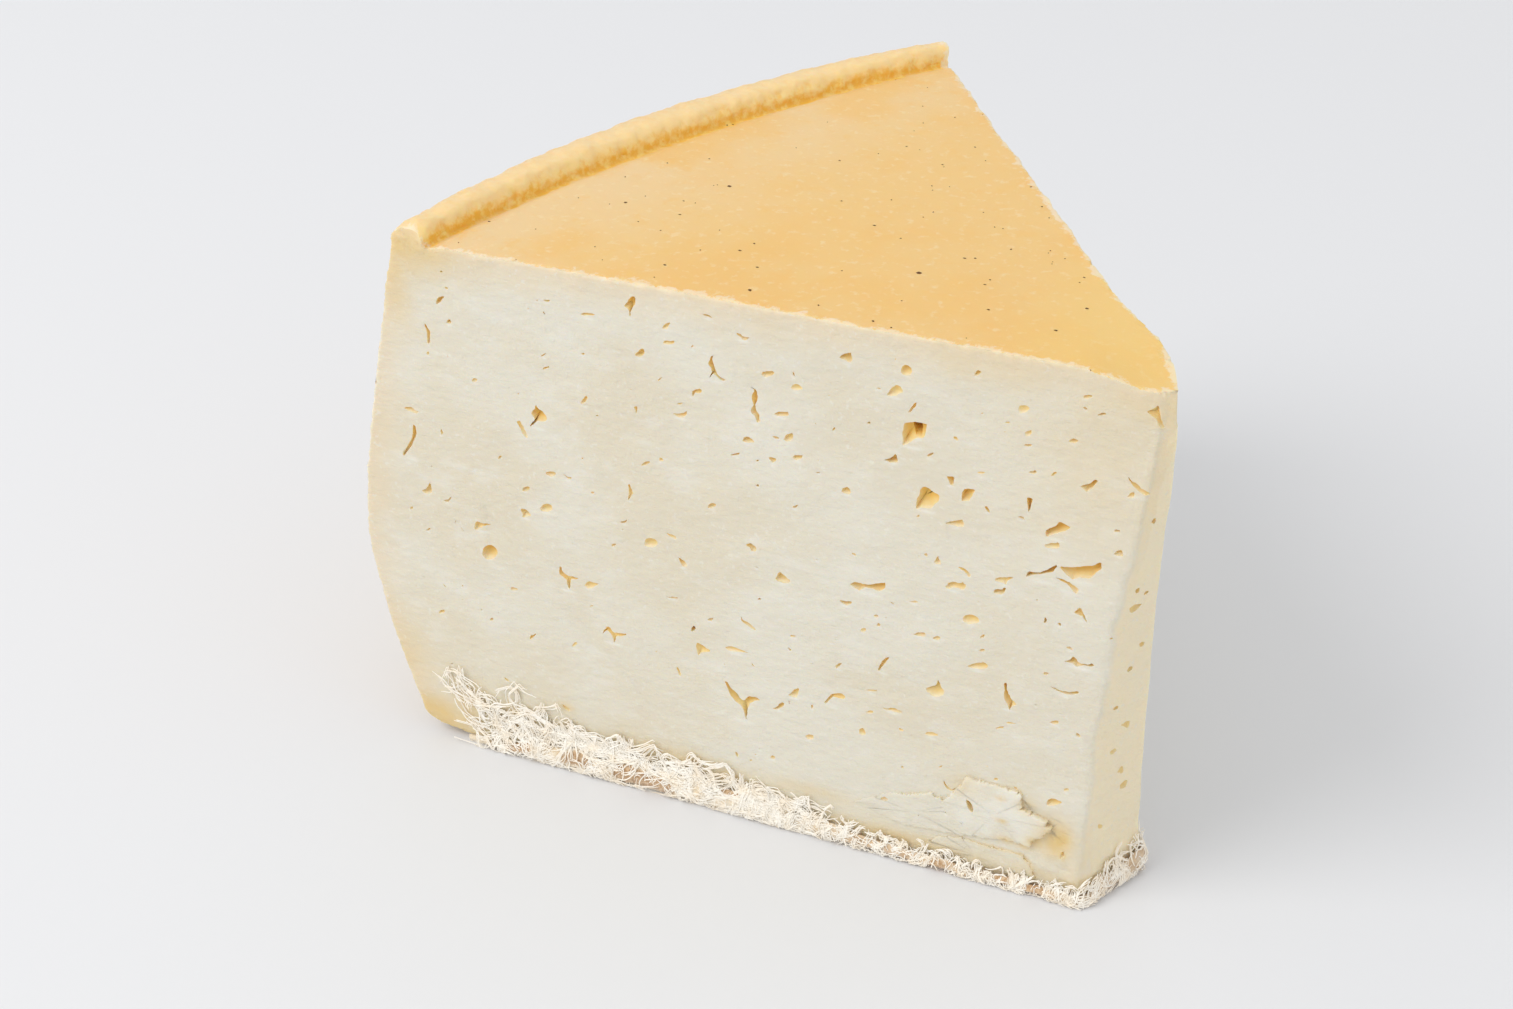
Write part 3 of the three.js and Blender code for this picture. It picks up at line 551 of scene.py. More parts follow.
    (0.5, 28.3, 40.1, 27.5, 40.6, 26.7, 41.1, 25.6, 41.6, 24.6, 41.2, 25, 40.5, 26.2, 40.1, 27.4, 39.9),
    (0.5, 15, 40.2, 13.4, 39.9, 12, 39.9, 11, 40.3, 10.5, 40.6, 10.2, 40.2, 11.2, 39.7, 12.2, 39.4, 13.4,
     39.5),
    (0.35, 82.7, 63.3, 82, 64.1, 81, 64.5, 81.2, 64, 82, 63.4),
    (0.35, 79.6, 65, 79.1, 65.6, 78.6, 65.3, 78.8, 64.8, 79.4, 64.8),
    (0.35, 63, 64.1, 62.7, 64.7, 62.3, 64.5, 62.5, 64),
    (0.4, 71.4, 58.2, 70.9, 59.2, 70.2, 59.5, 69.6, 59.3, 70.2, 58.7, 70.9, 58.2),
    (0.5, 64.9, 53.2, 64.2, 53.7, 63.2, 53.5, 62.9, 52.8, 63.3, 52.2, 63.9, 52.3, 64.1, 52.8),
    (0.3, 78.8, 52, 78, 51.9, 76.9, 51.8, 76.9, 51, 77.5, 51.2, 78.3, 51.6),
    (0.5, 82.6, 49.1, 82.3, 50.1, 81.3, 50.4, 80.4, 50.2, 80.2, 49.4, 80.9, 48.8, 81.9, 48.5, 82.5, 48.6),
    (0.7, 60, 48.1, 59.6, 48.8, 59.1, 49.8, 58.6, 49.3, 57.9, 48.9, 57.2, 48.3, 58.1, 47.7, 58.9, 47.8,
     59.6, 47.8),
    (0.6, 49.3, 46.8, 48.3, 46.9, 47.7, 47, 47.3, 47.3, 46.9, 47, 47.4, 46.6, 47.8, 46.1, 48.4, 46.3),
    (0.55, 76.8, 47.9, 76, 47.7, 75.3, 47.3, 75.1, 46.7, 75.6, 46.3, 76.2, 46.5, 76.3, 47.2),
    (0.35, 43.7, 45.4, 43.1, 45.9, 42.6, 45.7, 42.9, 45.1),
    (0.25, 45.8, 42, 45.2, 42.8, 44.6, 42.7, 45, 41.8),
    (0.35, 63.2, 43.5, 62.6, 43.9, 62.2, 43.9, 62.7, 43.4),
    (0.25, 47.2, 56, 46.5, 56.1, 46.3, 55.6, 46.9, 55.5),
    (0.3, 57, 61.7, 56.3, 62.4, 55.8, 62.5, 56.3, 61.8),
    (1.2, 101.8, 68.6, 101, 69.4, 100.8, 70.4, 100.5, 69.7, 99.6, 69.3, 98.9, 68.6, 98.9, 67.8, 99.6, 67.4,
     100.7, 67.4, 101.4, 66.5, 102.2, 66, 101.8, 66.7, 101, 67.6),
    (0.3, 104.5, 66.6, 103.8, 66.8, 103, 65.4, 102.5, 63.9, 103.2, 64, 103.7, 65),
    (0.5, 104.1, 71.4, 103.9, 71.8, 103.5, 71.7, 103.7, 71.3),
    (0.3, 90.4, 70.4, 89.9, 70.8, 89.5, 70.8, 89.9, 70.3),
    (0.4, 125.5, 64.5, 124.6, 64.9, 123.8, 65, 123.3, 64.5, 122.5, 64.5, 123, 63.9, 123.6, 64, 124.4, 64.1),
    (0.6, 123.9, 61.9, 123.5, 61.5, 123.4, 60.2, 123.9, 59.2, 124.6, 57.7, 125.6, 56.4, 126.3, 55.3, 126.6,
     55.8, 125.8, 57, 125, 58.2, 124.3, 59.4, 124.1, 60.6),
    (0.35, 118.8, 62.1, 118.5, 62.1, 118.3, 61.5, 118.5, 60.9, 118.8, 61.2),
    (0.3, 108.5, 58.8, 108, 59.7, 107.6, 59.6, 107.9, 59, 108.3, 58.7),
    (0.4, 100, 58.1, 99.3, 58.5, 98.1, 58.8, 97.9, 58.3, 98.5, 57.7, 99.4, 57.7),
    (0.4, 96.6, 58.8, 96, 58.3, 95, 58.4, 95.3, 57.9, 96, 58, 96.4, 58.3),
    (0.4, 85.1, 59.6, 84.7, 59.5, 84.5, 58.6, 84.1, 57.9, 84.6, 57.2, 85.3, 56.3, 85.1, 57.4, 84.9, 58.4),
    (0.35, 104.4, 54, 103.9, 54.7, 103, 54.9, 102.7, 54.7, 103.2, 54.1, 103.9, 53.7),
    (0.5, 101.3, 51.2, 100.6, 52.1, 99.6, 52.5, 98.9, 52.1, 99.2, 51.3, 100, 50.8, 100.9, 50.7),
    (0.45, 105, 50.3, 104, 50.5, 103.4, 50.1, 102.9, 49.4, 103.8, 49.2, 104.7, 48.6, 104.6, 49.6),
    (0.6, 123.7, 49.4, 122.7, 49.9, 122.2, 50.6, 121.8, 51.4, 121.6, 50.5, 121.5, 49.5, 122.2, 49.1, 123,
     49.1),
    (0.3, 119.6, 48.5, 118.6, 48.9, 117.8, 49.7, 118, 49.1, 118.6, 48.3),
    (0.4, 86.8, 52, 86.1, 52.5, 85.3, 52.8, 85.6, 52.4, 86.4, 51.9),
    (0.35, 88.8, 47.1, 88.3, 47.7, 87.6, 47.8, 87.9, 47.3, 88.5, 46.9),
    (0.5, 114.1, 44.4, 113.8, 45.5, 113.2, 46.1, 112.6, 45.7, 110.7, 45.8, 112.3, 45.2, 113.1, 44.6, 113.8,
     44),
    (0.3, 126.3, 45.2, 125.9, 46, 125.5, 45.7, 125.9, 45.1),
    (0.25, 123.7, 41.6, 123, 42.2, 122.5, 42.5, 122.8, 41.9),
    (1.1, 112.9, 39.6, 112.7, 40.8, 111.9, 41.7, 111, 41.9, 110.1, 41.4, 109.9, 40.4, 110.5, 39.5, 111.4,
     38.9, 112.4, 38.9),
    (0.7, 34.9, 34.1, 33.9, 34.8, 33, 35.3, 32.7, 36.5, 32.2, 35.1, 31.5, 34.5, 31.9, 33.5, 33.2, 32.8,
     34.4, 33.5),
    (0.9, 22.2, 38.8, 21.7, 38.9, 21.6, 37.6, 21, 36.2, 20.4, 35.7, 19.8, 35.2, 20.7, 34.7, 21.2, 33.7,
     21.3, 34.8, 21.9, 35.4, 22.1, 36.6, 22, 37.7),
    (0.4, 14.8, 33.3, 14.1, 33.9, 13.3, 34.2, 13, 33.7, 13.9, 33.2),
    (0.4, 23.4, 29.7, 22.5, 30.3, 21.5, 30.6, 22.3, 30, 23, 29.6),
    (0.3, 21.7, 31.3, 20.9, 31.7, 19.7, 31.5, 20.6, 31.4, 21.2, 31.1),
    (0.35, 42, 28.5, 41, 28.5, 40.2, 29, 39.2, 28.9, 38.3, 28.6, 39.1, 28.2, 40.3, 28.4, 41, 28.1),
    (0.4, 34.9, 25.3, 34.2, 26, 33.2, 26.2, 32.2, 25.8, 33, 25.3, 34.2, 25.1),
    (0.35, 39.3, 25.2, 38.7, 25.4, 38.1, 25, 38.5, 24.6, 39, 24.8),
    (0.6, 42.8, 35.4, 42.4, 36.4, 41.7, 37.9, 40.7, 38.6, 41, 37.8, 41.9, 36.4, 42.4, 35.2),
    (0.4, 23.3, 19.9, 22.8, 20.5, 22.1, 20.3, 22.4, 19.9, 22.9, 19.6),
    (0.4, 20, 19.6, 19.3, 19.6, 19, 19.1, 19.5, 18.9),
    (0.6, 14.4, 17.8, 14.2, 18.7, 13.6, 19.3, 12.9, 19.3, 11.8, 19.1, 12.3, 18.5, 13.2, 18, 14, 17.6),
    (0.3, 12, 21.4, 11.4, 21.9, 10.8, 22, 11, 21.4, 11.6, 21.1),
    (0.5, 31.3, 17.6, 30.8, 16.4, 30.2, 16, 29.6, 16, 29, 16.6, 29.4, 15.8, 30, 15.5, 30.7, 15.8, 31.3,
     16.6),
    (0.7, 27.3, 15.3, 26.5, 14.9, 26, 13.9, 26.1, 12.8, 26.8, 13.3, 27.1, 14.2),
    (0.4, 11.7, 8.1, 11.4, 9.2, 11, 9.6, 10.8, 8.6, 11.1, 8.1),
    (0.5, 7.4, 27.4, 7, 28.5, 6.5, 29.4, 6.4, 28.4, 6.6, 27.4),
    (0.25, 42, 10.5, 41.2, 11.2, 40.4, 10.7, 41, 10.3), (0.3, 32.4, 19.5, 32, 20, 31.5, 20.2, 31.8, 19.5),
    (0.35, 79.4, 39.7, 78, 40, 76.8, 40.2, 77.2, 39.9, 78.4, 39.6),
    (0.4, 66, 39.6, 65.7, 38.9, 64.5, 38.6, 63.6, 37.9, 63.2, 37.4, 64, 37.5, 64.6, 38, 65.8, 38.4),
    (0.35, 72.1, 37.3, 71.4, 37.7, 70.8, 38, 70.9, 37.4, 71.6, 37.1),
    (1.2, 74.9, 34.2, 74.7, 35.3, 74.3, 35.6, 73.9, 35.1, 74.2, 34.7, 74.6, 34.2),
    (0.4, 69.1, 32.5, 68.6, 33, 67.5, 33.2, 66, 32.9, 64.7, 32.7, 66.6, 32.4, 68, 32.2),
    (0.6, 74, 32.4, 73.2, 32.2, 72.2, 31.6, 71.4, 31.3, 72.2, 30.8, 73.2, 30.6, 73.8, 29.6, 74, 30.6, 74.1,
     31.5),
    (0.4, 49.9, 34, 49.5, 34.8, 48.6, 35.2, 49, 34.7, 49.4, 33.9),
    (0.35, 44.9, 31, 43.8, 31.4, 42.6, 31.6, 43.2, 31.1, 44, 31),
    (0.45, 51.8, 26.6, 51.2, 27.7, 50.6, 28.6, 49.9, 29, 48.8, 29.3, 48, 28.8, 48.3, 28.3, 49.2, 28.2, 50.2,
     28.3, 51, 27.2, 51.4, 26.5),
    (0.45, 58, 26.4, 57.3, 27.2, 56.7, 28, 56, 28.4, 56.2, 27.3, 56.4, 26.4, 57, 26.2),
    (0.35, 77.9, 26.6, 77.5, 26.5, 77.2, 25.5, 76.9, 24.7, 77.4, 24.9, 77.7, 25.8),
    (0.6, 60.8, 22.9, 60, 23.5, 59.3, 24.5, 58.6, 24.8, 58.7, 24, 59.4, 23.3, 60.2, 22.8),
    (0.3, 54.1, 25.1, 53.8, 25.9, 53.5, 25.6, 53.6, 24.8),
    (0.8, 69.2, 26.2, 68.6, 25.9, 68.1, 24.9, 67.2, 24.4, 66.5, 23.5, 65.9, 23, 65, 24.2, 63.7, 24.4, 62.8,
     24, 64, 23.6, 64.8, 22.8, 65.1, 21.7, 65.3, 20.4, 65.4, 18.9, 65.7, 20.3, 65.9, 21.2, 66.4, 22.1, 67.3,
     22.4, 68.2, 23.5, 68.7, 24.8),
    (0.5, 45.8, 22.2, 45.8, 23.2, 45.2, 23.6, 44.6, 23, 44.5, 22.3, 45.1, 21.9),
    (0.35, 44.9, 26.6, 44.1, 27.3, 43.3, 27.4, 43.2, 27, 44.1, 26.5),
    (0.3, 55.1, 19, 54.4, 19.7, 53.5, 19.7, 53.5, 19.1, 54.3, 18.6),
    (0.35, 61.4, 13, 60.9, 13.6, 60.2, 13.4, 60.3, 12.9, 61, 12.8),
    (0.4, 67.6, 12.5, 67.2, 12.3, 66.9, 11.5, 67.2, 11.1, 67.5, 11.7),
    (0.25, 65.1, 11.2, 64.7, 11.7, 64.4, 11.3, 64.8, 10.9),
    (0.25, 57.7, 38, 57, 38.3, 56.3, 38.2, 56.9, 37.8),
    (0.6, 98.4, 40.9, 98.1, 40.9, 98, 40, 97.4, 39.4, 96.2, 39.4, 94.9, 39.3, 95.6, 38.9, 96.4, 38.9, 96.6,
     37.9, 96.8, 36.5, 97.2, 37.4, 97.5, 38.7, 98.3, 39, 98.7, 39.5),
    (0.45, 94.2, 38.1, 93.6, 38.8, 93.2, 39.4, 92.4, 39.1, 91.2, 39.2, 92, 38.6, 92.6, 38, 93.4, 37.6),
    (0.35, 108.2, 34.1, 107.6, 34.6, 106.5, 34.2, 107.2, 33.9, 107.9, 33.7),
    (0.5, 91.3, 29.2, 90.9, 30.3, 90.2, 31.3, 89.6, 31, 89.3, 30.3, 88.2, 30.4, 86.6, 30.6, 87.6, 29.9,
     88.7, 29.6, 88.8, 28.7, 89.2, 28, 89.3, 29, 89.7, 30, 90.5, 30.4),
    (0.35, 122.8, 25.3, 122.3, 26.1, 121.5, 26.4, 121.2, 26.1, 121.8, 25.6, 122.5, 25.2),
    (0.5, 105.3, 24.4, 105, 25.6, 104.6, 25.6, 103.7, 26.2, 104.4, 25.2, 104.9, 24.6),
    (0.4, 97.5, 24.9, 97, 26, 96.3, 26.6, 95.8, 26.1, 96.4, 25.5, 97, 25),
    (0.4, 92, 22.5, 91.7, 22.9, 91.3, 22.7, 91.6, 22.2),
    (0.3, 111, 15.4, 110.2, 15.2, 109.6, 14.5, 110.3, 14.7),
    (0.4, 99.8, 12.9, 99, 12.5, 98.1, 12.2, 98.5, 11.5, 99, 11.8, 99.6, 12.3),
]
# Openings of the narrow cut: how deep, how far across it from the broad cut, height,
# and their width and height.
TIP_OPENINGS = [
    (0.6, 0.4, 58.7, 1.3, 1.1), (0.5, 0.66, 57.5, 1.2, 0.8), (0.3, 0.45, 55.6, 2.6, 1.8),
    (0.4, 0.62, 32.2, 2.2, 1.5), (0.3, 0.38, 28, 2, 1.3), (0.4, 0.6, 23.2, 1.7, 2.2),
    (0.4, 0.66, 19.6, 1.7, 2.4), (0.35, 0.28, 13.4, 1.3, 1.4), (0.4, 0.5, 43.5, 1.2, 1),
    (0.4, 0.3, 37, 1.4, 0.8), (0.5, 0.55, 71, 0.8, 1.2), (0.4, 0.75, 47, 1.5, 0.9),
]
# Flakes that stand off the broad cut: how far at their left and at their right end,
# then the corners of their outlines in the same way.
FLAKES = [
    (0.3, 0.65, 31.5, 13.2, 30.7, 13.8, 28.6, 17.2, 27.3, 19.5, 25, 19.2, 22, 19.1, 18.4, 18.8, 18.3, 15.9,
     16.2, 15.4, 14.2, 14.9, 14, 14, 13.1, 13.6, 14.3, 12.2, 14.8, 11.2, 16.2, 10.4, 16.3, 9.1, 17.5, 8.9,
     20, 9.2, 24, 8.3, 28, 7.9, 30.5, 9),
    (0.05, 0.3, 46.3, 8.6, 40.3, 12.1, 37.5, 12.8, 33.5, 14.2, 30.5, 13.4, 28, 11.5, 27, 7.9, 30, 7.3, 38,
     6.6),
    (0.1, 0.16, 36, 2.5, 31.9, 6, 27.4, 7, 24.5, 6.6, 22, 6.8, 18.4, 6.9, 16.4, 5.6, 15.6, 2.5),
]
# Each ring of a flake: what share of its height it stands at, and its size.
FLAKE_STEPS = [(0, 1.0), (0.6, 0.985)]
FLAKE_STEPS += [(1, size) for size in (0.94, 0.86, 0.76, 0.64, 0.5, 0.36, 0.22, 0.08)]
FLAKE_ROOT = -1.5
FLAKE_GRAIN = [(0.22, 6.0, 2)]
# The hollow that the large flake came away from, at its right end, drawn likewise.
FLAKE_BED = (0.35, 18.6, 17.8, 16, 16.6, 13.5, 15.8, 11.3, 15, 10.2, 12.5, 10.2, 10.3, 12, 8.6, 15.5, 7.9,
             18.2, 8.2, 19, 12)
PLUG_OUTSIDE = 3.0
# How far in each ring of a hollow lies and how much of the outline is left there.
PLUG_STEPS = [(0, 1.0), (0.22, 0.95), (0.5, 0.8), (0.78, 0.56), (1, 0.28)]
OVERHANG = 1.15
OUTLINE_STEP = 0.35
RAGGEDNESS = 0.035
FLAKE_RAGGEDNESS = 0.13
DRIFT = 0.1
# Openings that are scattered by rule: how many, the seed, the stretch of the cut
# and their smallest and largest size.
FINE_ON_NEAR = (75, 5, (9, 127), (0.4, 1.0))
LARGE_ON_FAR = (60, 8, (15, 117), (1.3, 4.2))
FINE_ON_FAR = (90, 9, (15, 118), (0.4, 1.1))
SCATTER_HEIGHTS = (6, 92)
CROWDING = 1.15
# The middle and the size of the large flake, which the scattered openings leave free.
FLAKE_ROOM = ((-16, 12), 11, None)
TIP_CORNERS = 9


def outline_of(numbers):
    """The corners of a drawn outline, in x and height."""
    return np.reshape(numbers, (-1, 2)) * (-1.0, 1.0)


def between(low, high, share):
    return low + (high - low) * share


def finely_drawn(corners, draw, ragged=RAGGEDNESS):
    """An outline with its sides divided, its corners eased and a fine raggedness."""
    sides = []
    for here, there in zip(corners, np.roll(corners, -1, axis=0)):
        count = max(1, round(np.linalg.norm(there - here) / OUTLINE_STEP))
        sides.append(here + (there - here) * np.arange(count)[:, None] / count)
    line = np.vstack(sides)
    line = 0.5 * line + 0.25 * (np.roll(line, 1, axis=0) + np.roll(line, -1, axis=0))
    return line + ragged * draw.normal(size=line.shape)


def middles_of(outline):
    """For each point of an outline, the middle between it and the side across from it."""
    before, after = np.roll(outline, 1, axis=0), np.roll(outline, -1, axis=0)
    way = after - before
    area = np.sum(outline[:, 0] * after[:, 1] - after[:, 0] * outline[:, 1])
    inwards_of = np.column_stack([-way[:, 1], way[:, 0]]) * np.sign(area)
    inwards_of /= np.linalg.norm(inwards_of, axis=1)[:, None] + 1e-9
    middles = np.empty_like(outline)
    for number, (point, into) in enumerate(zip(outline, inwards_of)):
        gap, side = outline - point, after - outline
        turn = into[0] * side[:, 1] - into[1] * side[:, 0] + 1e-12
        reach = (gap[:, 0] * side[:, 1] - gap[:, 1] * side[:, 0]) / turn
        share = (gap[:, 0] * into[1] - gap[:, 1] * into[0]) / turn
        met = reach[(reach > 0.05) & (share >= 0) & (share <= 1)]
        middles[number] = point + into * (met.min() / 2 if met.size else 0.1)
    for _ in range(3):
        middles = 0.4 * middles + 0.3 * (np.roll(middles, 1, axis=0) + np.roll(middles, -1, axis=0))
    return middles


def plug(outline, depth, draw):
    """The hollow behind an outline: its middle, its size and its rings. Its upper wall is steep."""
    middles = middles_of(outline)
    drift = draw.normal(scale=DRIFT, size=2) * depth
    rise = OVERHANG * min(1, 1.1 * depth) * np.abs(outline - middles)[:, 1].mean()
    rings = [np.column_stack([outline, np.full(len(outline), -PLUG_OUTSIDE)])]
    for step, scale in PLUG_STEPS:
        flat = middles + (outline - middles) * scale + drift * step + (0, (1 - scale) * rise)
        rings.append(np.column_stack([flat, np.full(len(outline), step * depth)]))
    return tuple(outline.mean(0)), np.ptp(outline, axis=0).max(), rings


def scattered(count, seed, span, sizes, taken):
    """More hollows shaped like the drawn ones, where there is room, closer together towards the point."""
    draw = np.random.default_rng(seed)
    found = []
    while len(found) < count:
        depth, *numbers = DRAWN_OPENINGS[draw.integers(len(DRAWN_OPENINGS))]
        corners = outline_of(numbers)
        shape = corners - corners.mean(axis=0)
        size = between(*sizes, draw.random() ** 2)
        scale = size / np.ptp(shape, axis=0).max()
        place = (-between(*span, draw.random() ** CROWDING), between(*SCATTER_HEIGHTS, draw.random()))
        if all(math.dist(place, middle) > 0.6 * (size + other) + 0.5 for middle, other, _ in taken + found):
            corners = shape * scale * (draw.choice([1, -1]), 1) + place
            depth = min(depth * max(scale, 0.6), 0.55 * size)
            found.append(plug(finely_drawn(corners, draw), depth, draw))
    return found


def plugs_on_near(draw):
    drawn = [plug(finely_drawn(outline_of(numbers), draw), depth, draw) for depth, *numbers in DRAWN_OPENINGS]
    return drawn + scattered(*FINE_ON_NEAR, drawn + [FLAKE_ROOM])


def plugs_on_far():
    larger = scattered(*LARGE_ON_FAR, [])
    return larger + scattered(*FINE_ON_FAR, larger)


def plugs_on_tip(draw):
    """The hollows of the narrow cut, placed by millimetres across it from its middle."""
    made = []
    angle = np.linspace(0, 2 * math.pi, TIP_CORNERS, endpoint=False)
    for depth, share, z, width, height in TIP_OPENINGS:
        reach = 1 + 0.25 * draw.normal(size=TIP_CORNERS)
        corners = np.column_stack([np.cos(angle) * reach * width / 2, np.sin(angle) * reach * height / 2])
        near_edge, far_edge = tip_edges(z)
        across = (share - 0.5) * math.dist(on_near(near_edge, z), on_far(far_edge, z))
        made.append(plug(finely_drawn(corners + (across, z), draw), depth, draw))
    return made


def on_tip(across, z, proud):
    """A point of the narrow cut, so many millimetres across it from its middle."""
    near_edge, far_edge = tip_edges(z)
    near_corner, far_corner = on_near(near_edge, z), on_far(far_edge, z)
    way = far_corner - near_corner
    way /= np.linalg.norm(way, axis=1)[:, None]
    facing = np.column_stack([way[:, 1], -way[:, 0], 0 * z])
    return (near_corner + far_corner) / 2 + way * across[:, None] + facing * proud[:, None]


def apart(plugs):
    """The plugs in groups whose members don't touch."""
    groups = []
    for middle, reach, rings in plugs:
        for group in groups:
            if all(math.dist(middle, there) > 0.75 * (reach + other) for there, other, _ in group):
                group.append((middle, reach, rings))
                break
        else:
            groups.append([(middle, reach, rings)])
    return groups


def shaped(name, material_index, materials, parts):
    """One object made of closed skins, all of them in one of the materials."""
    points, faces = [], []
    for rings in parts:
        part_points, part_faces = skin(rings)
        start = sum(map(len, points))
        points.append(part_points)
        faces += [[start + corner for corner in face] for face in part_faces]
    made = mesh_object(name, np.vstack(points), faces)
    for material in materials:
        made.data.materials.append(material)
    made.data.polygons.foreach_set("material_index", [material_index] * len(faces))
    return made


def open_up(body, plugs, place, material_index):
    """Hollows the body out behind the openings, which place sets on their cut."""
    for group in apart(plugs):
        parts = [[place(ring[:, 0], ring[:, 1], -ring[:, 2]) for ring in rings] for _, _, rings in group]
        carve(body, shaped("openings", material_index, body.data.materials, parts), "DIFFERENCE")


def flake_rings(left, right, corners, draw):
    """The rings of a flake, from inside the paste out over its edge to its middle."""
    outline = finely_drawn(corners, draw, FLAKE_RAGGEDNESS)
    middle = outline.mean(0)
    rings = [on_near(-outline[:, 0], outline[:, 1], FLAKE_ROOT)]
    for share, size in FLAKE_STEPS:
        x, z = (middle + (outline - middle) * size).T
        across = (x - outline[:, 0].min()) / np.ptp(outline[:, 0])
        proud = CUT_RELIEF * 0.4 + between(left, right, across**1.5) * (0.65 + 0.35 * share)
        rings.append(on_near(-x, z, grains(on_near(-x, z), FLAKE_GRAIN, proud)))
    return rings


# ---- The cheese ---------------------------------------------------------------
# One piece of paste under its own rind: the slice of the wheel inside the knife
# cuts, hollowed by its openings. Its edges are rubbed soft by handling.

RIND, PASTE, OPENING = 0, 1, 2
SHARP_ANGLE = math.radians(38)
EDGE_SOFTNESS = 0.9
POINT_SOFTNESS = 1.8
EDGE_RUBS = 5
EDGE_GRAIN = [(0.28, 1.2, 3)]
# Golden patches on the broad and the narrow cut: whey staining, and painted golden shade
# round the large flake's right end: x, height, reach along and up, and strength.
STAINS_AND_SHADE = [
    (-125, 90, 2.8, 9, 0.65), (-121, 93.5, 7, 3, 0.85), (-12.4, 11.5, 3.2, 3.8, 1),
    (-15.5, 10, 1.8, 1.6, 0.9), (-11.2, 8.8, 0.9, 1.2, 0.9), (-20.5, 9, 1.6, 0.8, 0.8),
    (-17.6, 8.6, 1.4, 0.8, 0.7), (-17.4, 16.6, 1.6, 1.3, 0.6), (-15, 4, 5, 1.2, 0.3),
    (-28, 17.5, 3.5, 2, 0.3), (-126, 4, 9, 4, 0.8), (-131, 14, 7, 9, 0.35), (-118, 8, 4, 4, 0.55),
    (-108.5, 7.5, 3, 2.6, 0.7), (-99, 12.4, 1.4, 1, 0.6), (-97.5, 7.5, 3, 2, 0.4), (-78, 8, 12, 1.8, 0.4),
    (-69, 6.8, 3, 1.6, 0.6), (-54, 8.6, 7, 1.4, 0.35), (-38, 3.6, 14, 1.4, 0.5), (-121, 92, 7, 4, 0.5),
    (-24, 92, 16, 4, 0.25), (-4, 90, 8, 4, 0.35), (-9, 80, 13, 16, 0.28), (-21.3, 12.8, 0.8, 0.5, 0.8),
    (-21.6, 17.2, 1, 0.4, 0.6), (-9.5, 5.5, 3.5, 5, 0.35),
]
# How strongly the seam round each flake is painted with golden shade, and how far from it.
SEAM_STRENGTHS = (0.42, 0.2, 0.5)
SEAM_REACH = (0.15, 0.6)
# Where the cuts are pale with crumbs: x, height, and reach along and up.
PALE_CRUMBS = [(-9, 6.5, 8, 3.2), (-1, 18, 1.5, 11)]
CRUMB_GRAIN = [(0.6, 2.2, 3)]
# The paste's colours, from its palest to its deepest. The chalky, waxy and whey ones also carry painted light
# and shade.
CHALKY_AND_HIGHLIGHT = (0.86, 0.85, 0.78, 1)
SMEARED = (0.81, 0.785, 0.70, 1)
DRIED = (0.88, 0.82, 0.69, 1)
PALE = (0.765, 0.725, 0.61, 1)
CREAMY = (0.745, 0.68, 0.535, 1)
WAXY_LIT_PASTE = (0.94, 0.81, 0.56, 1)
UNDER_RIM = (0.86, 0.67, 0.40, 1)
TAN = (0.79, 0.65, 0.44, 1)
GOLDEN = (0.75, 0.615, 0.375, 1)
WHEY_AND_SHADE = (0.76, 0.56, 0.25, 1)
BROWNISH = (0.60, 0.46, 0.24, 1)
# An opening's colours, from its mouth inwards, each with where it starts and is full: painted shade that
# deepens further in.
OPENING_MOUTH = (0.84, 0.73, 0.50, 1)
OPENING_SHADE_DEPTHS = [
    (0.3, 0.95, (0.83, 0.63, 0.28, 1)),
    (0.9, 1.8, (0.84, 0.54, 0.13, 1)),
    (1.9, 3.4, (0.72, 0.37, 0.05, 1)),
]
# The rind's colours: the top, the rim and the groove between them, and the worn foot.
HONEY = (0.825, 0.545, 0.212, 1)
PEACH = (0.82, 0.61, 0.345, 1)
DEEP_HONEY = (0.835, 0.51, 0.165, 1)
BUFF = (0.87, 0.70, 0.42, 1)
CREST_DARK, CREST_LIGHT = (0.82, 0.57, 0.28, 1), (0.83, 0.63, 0.36, 1)
SHOULDER = (0.96, 0.71, 0.34, 1)
WALL = (0.95, 0.69, 0.28, 1)
GROOVE_DARK, GROOVE_LIGHT = (0.88, 0.50, 0.075, 1), (0.94, 0.66, 0.20, 1)
AMBER = (0.85, 0.59, 0.19, 1)
FOOT = (0.69, 0.53, 0.33, 1)
CUT_EDGE = (0.86, 0.79, 0.65, 1)
DRAG_TURN = (0, math.radians(-14), 0)
# How far from the sharp point the paste gets paler, and where its last rounding is waxy and painted lighter,
# as if more light fell on it.
PALER_FROM, PALER_TO = -75, -5
WAXY_LIT_FROM_TIP, WAXY_LIT_FROM_NEAR = (0.4, 1.0), (0.0, 0.9)


class Grade:
    """A number that changes over a surface. Sums, products and the like add Math nodes."""

    def __init__(self, finish, socket):
        self.finish, self.socket = finish, socket

    def maths(self, operation, *values):
        return self.finish.node("ShaderNodeMath", {"operation": operation}, dict(enumerate(values)))

    def __add__(self, other):
        return self.maths("ADD", self, other)

    def __sub__(self, other):
        return self.maths("SUBTRACT", self, other)

    def __rsub__(self, other):
        return self.maths("SUBTRACT", other, self)

    def __mul__(self, other):
        return self.maths("MULTIPLY", self, other)

    __radd__, __rmul__ = __add__, __mul__

    def step(self, low, high):
        """0 below low, 1 above high, with a soft change between. Low may be the higher."""
        ends = {"Value": self, "From Min": low, "From Max": high}
        return self.finish.node("ShaderNodeMapRange", {"interpolation_type": "SMOOTHSTEP"}, ends)


